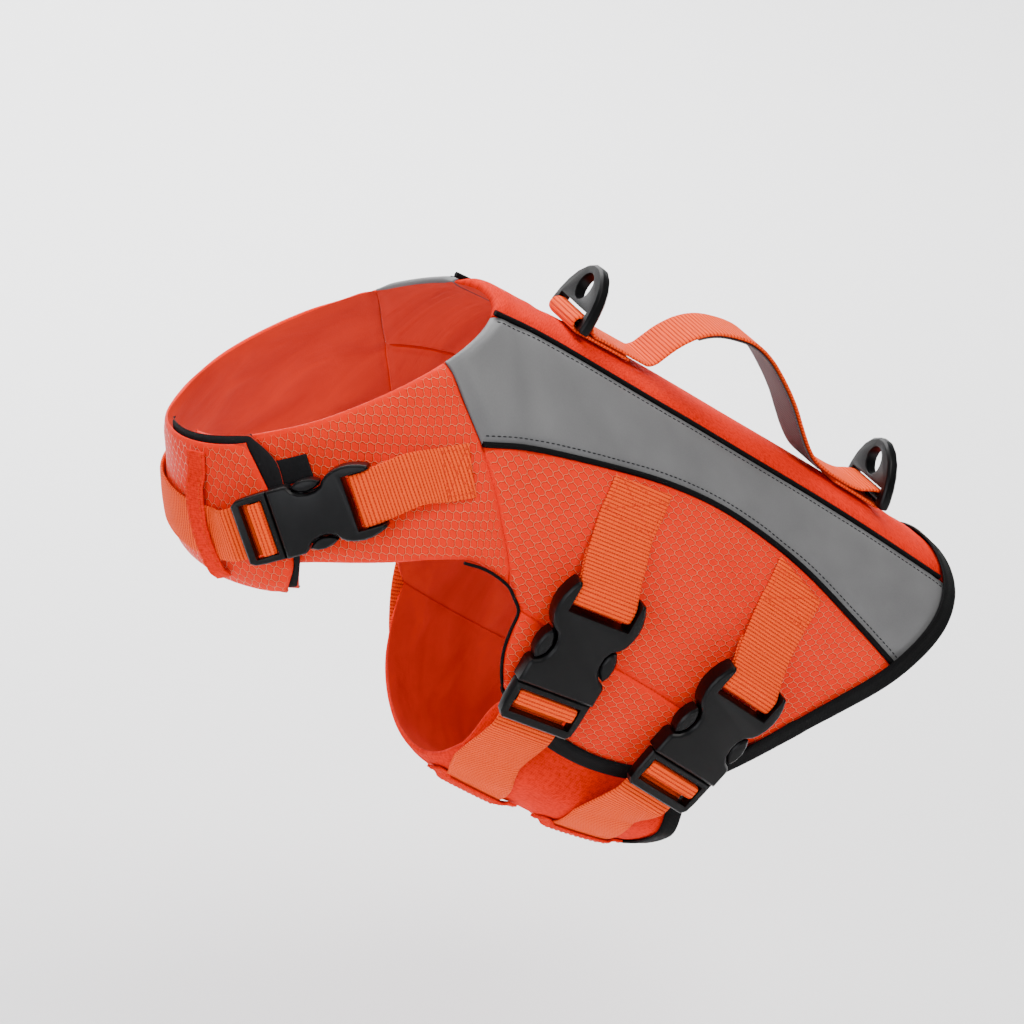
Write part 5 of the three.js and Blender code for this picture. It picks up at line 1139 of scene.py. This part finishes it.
# ---- Keepers and hook tab --------------------------------------------------------------------
# Short bands of folded orange cloth, 12 mm wide on the belly and 10 mm at the collar, sewn down at
# both ends with the belts running under them, and a black tab on the left collar under the flap.
KEEPER_CLOTH = 1.2
TAB_CLOTH = 0.8
TAB_WIDTH = 11.0
KEEPER_OVER = WEB + 0.4
KEEPER_REACH = 0.275
KEEPER_FLAT = 0.05
KEEPER_RAMP = 0.04


def bump_over(x, start, full, fade, end):
    return smooth(start, full, x) * (1 - smooth(fade, end, x))


KEEPERS = [("collar_keeper", [(0.06, 155.5), (0.5, 157), (0.96, 153.5)],
            lambda u, angle: flap_out(u, angle) + KEEPER_OVER * bump_over(u, 0.2, 0.33, 0.9, 0.97), "collar_cloth_right")]
for which, centre in (("front", 3.04), ("rear", 3.79)):
    low, high = centre - KEEPER_REACH, centre + KEEPER_REACH
    KEEPERS.append((
        f"belly_keeper_{which}", [(low, 160), (high, 160)],
        lambda u, angle, low=low, high=high: WEB_REST + KEEPER_OVER * bump_over(
            u, low + KEEPER_FLAT, low + KEEPER_FLAT + KEEPER_RAMP, high - KEEPER_FLAT - KEEPER_RAMP,
            high - KEEPER_FLAT), "belly_cloth"))
for node, places, out, under in KEEPERS:
    wide = 10.0 if node == "collar_keeper" else 12.0
    keeper, length = ribbon(node + "_band", lying_rows(line(places), 40, wide, out, 0.0, KEEPER_CLOTH),
                            oxford_orange, KEEPER_CLOTH, 1)
    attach(keeper, "jacket")
    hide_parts(node)
tab, length = ribbon(
    "hook_tab_cloth",
    lying_rows(
        line([(0.3, 131.5), (0.31, 114.5)]), 24, TAB_WIDTH, lambda u, angle: left_collar_rise(u, angle) + 0.35, 0.0,
        TAB_CLOTH),
    brushed_black, TAB_CLOTH, 1)
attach(tab, "jacket")
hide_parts("hook_tab")

# ---- Handle ----------------------------------------------------------------------------------
# One length of the 30 mm webbing: it loops round the front ring's bar, lies doubled on the spine,
# arches up as the handle and comes down to loop round the rear ring's bar. Grey cloth lines it.
RING_FRONT_X = 36.5
RING_REAR_X = 218.5
RING_AXIS_HEIGHT = 4.8
_us = np.linspace(0, 5, 2000)
_backs = section(_us)


def back_height(x):
    return np.interp(x, _backs[:, 0], _backs[:, 1])


def on_back(x, height):
    return (x, float(back_height(x)) + height)


def by_ring(ring_x, points):
    return [(ring_x + dx, float(back_height(ring_x)) + RING_AXIS_HEIGHT + dz) for dx, dz in points]


HANDLE_ARCH = [
    (75.5, 7.3), (78, 9.5), (80.4, 15), (83.2, 21.5), (89, 30), (96.3, 35.8), (106, 39.4), (116, 41),
    (127, 39.2), (140, 33.6), (151.4, 27.2), (161.2, 20.2), (170, 14.2), (177.5, 10.6), (186, 9.3)]


def smooth_flat(points, count):
    p = np.array(points, float)
    p = np.vstack([2 * p[0] - p[1], p, 2 * p[-1] - p[-2]])
    rows = []
    for k in range(len(p) - 3):
        gap = np.sqrt(np.linalg.norm(np.diff(p[k:k + 4], axis=0), axis=1))
        rows.append(between(p[k:k + 4], gap, np.linspace(0, 1, 30, endpoint=False)[:, None]))
    q = np.vstack(rows + [p[-2:-1]])
    run = np.concatenate([[0], np.cumsum(np.linalg.norm(np.diff(q, axis=0), axis=1))])
    at = np.linspace(0, run[-1], count + 1)
    return np.stack([np.interp(at, run, q[:, 0]), np.interp(at, run, q[:, 1])], 1)


UNDER_LAYER = WEB_REST + WEB / 2
TOP_LAYER = UNDER_LAYER + LAYER_STEP
arch = smooth_flat(HANDLE_ARCH, 60)
handle_path = (
    [on_back(66, UNDER_LAYER), on_back(52, UNDER_LAYER), on_back(42, UNDER_LAYER)]
    + by_ring(RING_FRONT_X, [
        (-1.5, -3.5), (-3.8, -2.6), (-4.8, -0.4), (-4, 1.9), (-1.9, 3.2), (0.6, 3.4), (2.6, 2.6), (4.6, 1.2),
        (6.6, -0.3), (9.2, -1.3)])
    + [on_back(50, TOP_LAYER), on_back(62, TOP_LAYER), on_back(71, TOP_LAYER)]
    + [tuple(p) for p in arch]
    + [on_back(200, TOP_LAYER)]
    + by_ring(RING_REAR_X, [
        (-12, -0.4), (-7.5, 1.8), (-3.6, 3.2), (0, 3.4), (2.4, 2.5), (3.45, 0.2), (2.95, -2), (1, -3.4), (-3, -3.55)])
    + [on_back(206, UNDER_LAYER), on_back(192, UNDER_LAYER)])
in_middle = lambda x, z: np.array([x, 0.0, z])
handle, length = ribbon("handle_band", bent_rows(handle_path, in_middle, (0, 1, 0), SIDE_WIDTH), webbing_orange)
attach(handle, "jacket")
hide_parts("handle_webbing")

# Soft woven polyester: grey plain weave with a little nap. Real threads are 0.4 mm; drawn at 0.8 mm.
soft_grey, tree, shader = new_material("Soft woven polyester grey")
cloth_uv = add_node(tree, "ShaderNodeTexCoord").outputs["UV"]
threads = add_node(tree, "ShaderNodeMapping", None, {"Vector": cloth_uv, "Scale": [1000 / 0.8] * 3})
thread_axes = add_node(tree, "ShaderNodeSeparateXYZ", None, {"Vector": threads.outputs[0]})
wave_x = add_node(tree, "ShaderNodeMath", {"operation": "PINGPONG"}, {0: thread_axes.outputs[0], 1: 1.0})
wave_y = add_node(tree, "ShaderNodeMath", {"operation": "PINGPONG"}, {0: thread_axes.outputs[1], 1: 1.0})
weave = add_node(tree, "ShaderNodeMath", {"operation": "MULTIPLY"}, {0: wave_x.outputs[0], 1: wave_y.outputs[0]})
ramp = add_node(tree, "ShaderNodeValToRGB", None, {"Fac": weave.outputs[0]})
ramp.color_ramp.elements[0].color = colour("#4A4A4B")
ramp.color_ramp.elements[1].color = colour("#6A6A6B")
bump = add_node(tree, "ShaderNodeBump", None, {"Height": weave.outputs[0], "Strength": 0.4, "Distance": 0.0003})
tree.links.new(ramp.outputs[0], shader.inputs["Base Color"])
tree.links.new(bump.outputs[0], shader.inputs["Normal"])
shader.inputs["Roughness"].default_value = 0.75
shader.inputs["Specular IOR Level"].default_value = 0.2

LINING_CLOTH = 1.0
LINING_STEP = WEB / 2 + WEB_GAP + LINING_CLOTH / 2
travel = unit(np.gradient(arch, axis=0))
lining_path = (arch + np.stack([travel[:, 1], -travel[:, 0]], 1) * LINING_STEP)[12:59]
lining, length = ribbon("handle_lining_cloth", bent_rows(lining_path, in_middle, (0, 1, 0), 28.0), soft_grey, LINING_CLOTH, 1)
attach(lining, "jacket")
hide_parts("handle_lining")

# ---- Lead rings ------------------------------------------------------------------------------
# Flat rings moulded in the same black acetal, each with a round eye for a lead's hook over a bar
# that turns inside the webbing's loop.
moulded("front_ring_moulding", "ring_front", "front_ring", 0.0012, 4)
moulded("rear_ring_moulding", "ring_rear", "rear_ring", 0.0012, 4)

# ---- Sewing ----------------------------------------------------------------------------------
# Lockstitch in polyester thread: dark grey along the shoulder panels, orange on the straps and
# keepers. Each stitch is a short bead of thread about 0.5 mm thick.
STITCH_PITCH = 2.6
STITCH_LENGTH = 2.0
STITCH_WIDE = 0.55


# Spun polyester thread: matt and twisted; its fine texture is drawn as noise at 0.4 mm.
def thread(name, dark, light):
    material, tree, shader = new_material(name)
    at = add_node(tree, "ShaderNodeTexCoord").outputs["Object"]
    twist = add_node(tree, "ShaderNodeTexNoise", None, {"Vector": at, "Scale": 2500.0, "Detail": 2.0})
    ramp = add_node(tree, "ShaderNodeValToRGB", None, {"Fac": twist.outputs[0]})
    ramp.color_ramp.elements[0].color = colour(dark)
    ramp.color_ramp.elements[1].color = colour(light)
    tree.links.new(ramp.outputs[0], shader.inputs["Base Color"])
    shader.inputs["Roughness"].default_value = 0.8
    shader.inputs["Specular IOR Level"].default_value = 0.05
    return material


def stitch_tree(name, material):
    group = bpy.data.node_groups.new(name, "GeometryNodeTree")
    group.interface.new_socket("Geometry", in_out="INPUT", socket_type="NodeSocketGeometry")
    for size in ("Pitch", "Length", "Width"):
        group.interface.new_socket(size, in_out="INPUT", socket_type="NodeSocketFloat")
    group.interface.new_socket("Geometry", in_out="OUTPUT", socket_type="NodeSocketGeometry")
    entry = add_node(group, "NodeGroupInput")
    path = add_node(group, "GeometryNodeMeshToCurve", None, {"Mesh": entry.outputs["Geometry"]})
    spots = add_node(group, "GeometryNodeCurveToPoints", {"mode": "LENGTH"}, {
        "Curve": path.outputs[0], "Length": entry.outputs["Pitch"]})
    outward = add_node(group, "GeometryNodeInputNamedAttribute", {"data_type": "FLOAT_VECTOR"}, {"Name": "outward"})
    facing = add_node(group, "FunctionNodeAxesToRotation", {"primary_axis": "X", "secondary_axis": "Z"}, {
        "Primary Axis": spots.outputs["Tangent"], "Secondary Axis": outward.outputs[0]})
    bead = add_node(group, "GeometryNodeMeshUVSphere", None, {"Segments": 6, "Rings": 5, "Radius": 0.5})
    size = add_node(group, "ShaderNodeCombineXYZ", None, {
        0: entry.outputs["Length"], 1: entry.outputs["Width"], 2: entry.outputs["Width"]})
    sewn = add_node(group, "GeometryNodeInstanceOnPoints", None, {
        "Points": spots.outputs["Points"], "Instance": bead.outputs["Mesh"], "Rotation": facing.outputs[0],
        "Scale": size.outputs[0]})
    real = add_node(group, "GeometryNodeRealizeInstances", None, {"Geometry": sewn.outputs[0]})
    dressed = add_node(group, "GeometryNodeSetMaterial", None, {"Geometry": real.outputs[0], "Material": material})
    soft = add_node(group, "GeometryNodeSetShadeSmooth", None, {"Geometry": dressed.outputs[0]})
    leave = add_node(group, "NodeGroupOutput")
    group.links.new(soft.outputs[0], leave.inputs[0])
    return group


# Places along a line drawn on the form, moved across it by a distance, well above the cloth.
def beside(path, shift, share):
    u, angle, _, _, across = path_frame(path, share)
    uu, aa = glide(u, angle, across * np.reshape(shift, (-1, 1)))
    return skin(uu, aa, 8.0), form_normal(uu, aa)


# Drops rows of places onto the cloth under them and sews a stitch at every pitch.
def sew(name, rows, cloths, dark, light):
    trees = [BVHTree.FromPolygons([v.co for v in cloth.data.vertices], [f.vertices[:] for f in cloth.data.polygons])
             for cloth in cloths]
    places, outwards, runs = [], [], []
    for points, normals in rows:
        run = 0
        for point, outward in zip(worn(points), normals @ WORN_TURN.T):
            hits = [hit for hit in (tree.ray_cast(Vector(point), Vector(-outward), 0.02) for tree in trees) if hit[0]]
            if hits:
                nearest = min(hits, key=lambda hit: hit[3])
                places.append(np.array(nearest[0]) + outward * 0.0001)
                outwards.append(outward)
                run += 1
        if run > 1:
            runs.append(run)
        elif run:
            places.pop()
            outwards.pop()
    group = stitch_tree(name + "_tree", thread(name + " thread", dark, light))
    stitches = grown(name, np.array(places), runs, group, {
        "Pitch": STITCH_PITCH / 1000, "Length": STITCH_LENGTH / 1000, "Width": STITCH_WIDE / 1000}, np.array(outwards))
    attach(stitches, "jacket")
    return stitches


full = np.linspace(0.008, 0.985, 160)
grey_rows = []
for side, turn in SIDES.items():
    hand = 1 if side == "left" else -1
    for edge, shift in ((spine_seam, 5.6), (side_seam, -3.9)):
        grey_rows.append(beside(turn(edge), hand * shift, full))
shoulders = [bpy.data.objects[f"shoulder_cloth_{side}"] for side in SIDES]
sew("shoulder_sewing", grey_rows, shoulders, "#19191A", "#303032")

# Each strap is sewn down with a box and a cross, and each keeper along both edges.
box_rows = []
for node, places, buckle, width, slant, under in STRAPS:
    half = width / 2 - 2.2
    path = line(places)
    for shift in (-half, half):
        box_rows.append(beside(path, shift, np.linspace(0.12, 0.97, 24)))
    for share in (0.12, 0.97):
        box_rows.append(beside(path, np.linspace(-half, half, 24), np.full(24, share)))
    for hand in (-1, 1):
        box_rows.append(beside(path, hand * np.linspace(-half, half, 30)[:, None], np.linspace(0.12, 0.97, 30)))
for node, places, out, under in KEEPERS:
    for shift in (-3.4, 3.4):
        box_rows.append(beside(line(places), shift, np.linspace(0.02, 0.98, 60)))
sewn_pieces = ([bpy.data.objects[node + "_webbing"] for node, *_ in STRAPS]
               + [bpy.data.objects[node + "_band"] for node, *_ in KEEPERS])
sew("strap_sewing", box_rows, sewn_pieces, "#C8260A", "#F04A18")

# ---- Camera, light and floor -----------------------------------------------------------------
# A long lens from the dog's left, a pale seamless floor and soft light from above and both sides.
TURN = math.radians(19.5)
RISE = math.radians(23)
DISTANCE = 1650.0
PIXELS_PER_MM = 2.264
FOCUS = PIXELS_PER_MM * DISTANCE
toward = np.array([-math.sin(TURN) * math.cos(RISE), -math.cos(TURN) * math.cos(RISE), math.sin(RISE)])
rightward = np.array([math.cos(TURN), -math.sin(TURN), 0])
upward = np.cross(rightward, -toward)
spot = (toward * DISTANCE - rightward * ((500 - 512) / FOCUS * DISTANCE) + upward * ((290 - 512) / FOCUS * DISTANCE))
held_turned = WORN_TURN @ HELD
eye = bpy.data.cameras.new("camera")
eye.lens = 36 * FOCUS / 1024
eye.sensor_width = 36
camera = bpy.data.objects.new("camera", eye)
bpy.context.scene.collection.objects.link(camera)
placing = Matrix.Identity(4)
for k in range(3):
    placing[k][0], placing[k][1], placing[k][2] = rightward[k], upward[k], toward[k]
    placing[k][3] = (spot[k] - held_turned[k]) / 1000
camera.matrix_world = placing
bpy.context.scene.camera = camera

FLOOR_DROP = -0.36
sweep_points, sweep_faces = [], []
for k, (y, z) in enumerate([(-3.0, 0), (1.2, 0), (1.7, 0.05), (2.1, 0.25), (2.35, 0.7), (2.4, 1.4), (2.4, 3.2)]):
    sweep_points += [(-4.0, y, FLOOR_DROP + z), (4.0, y, FLOOR_DROP + z)]
    if k:
        sweep_faces.append((2 * k - 2, 2 * k - 1, 2 * k + 1, 2 * k))
sweep_mesh = bpy.data.meshes.new("floor")
sweep_mesh.from_pydata(sweep_points, [], sweep_faces)
sweep_mesh.polygons.foreach_set("use_smooth", [True] * len(sweep_faces))
floor = bpy.data.objects.new("floor", sweep_mesh)
bpy.context.scene.collection.objects.link(floor)
paper, tree, shader = new_material("Seamless paper")
shader.inputs["Base Color"].default_value = colour("#F4F4F5")
shader.inputs["Roughness"].default_value = 0.9
sweep_mesh.materials.append(paper)

for name, place, aim, size, power, tint in (
        ("key", (0.75, -1.15, 1.85), (0, 0, -0.05), 1.1, 46, "#FFFDF8"),
        ("fill", (-1.6, -1.6, 0.7), (0, 0, -0.05), 1.5, 30, "#F8FAFF"),
        ("top", (-0.2, 0.35, 1.9), (0, 0, 0), 1.2, 6, "#FFFFFF"),
        ("backdrop", (0, 1.5, 1.5), (0, 2.1, -0.3), 2.2, 120, "#FFFFFF")):
    lamp = bpy.data.lights.new(name, "AREA")
    lamp.shape = "DISK"
    lamp.size = size
    lamp.energy = power
    lamp.color = colour(tint)[:3]
    light = bpy.data.objects.new(name, lamp)
    light.location = place
    light.rotation_euler = (Vector(aim) - Vector(place)).to_track_quat("-Z", "Y").to_euler()
    bpy.context.scene.collection.objects.link(light)
world = bpy.data.worlds.new("studio")
bpy.context.scene.world = world
world.use_nodes = True
world.node_tree.nodes["Background"].inputs[0].default_value = colour("#F2F3F5")
world.node_tree.nodes["Background"].inputs[1].default_value = 0.32
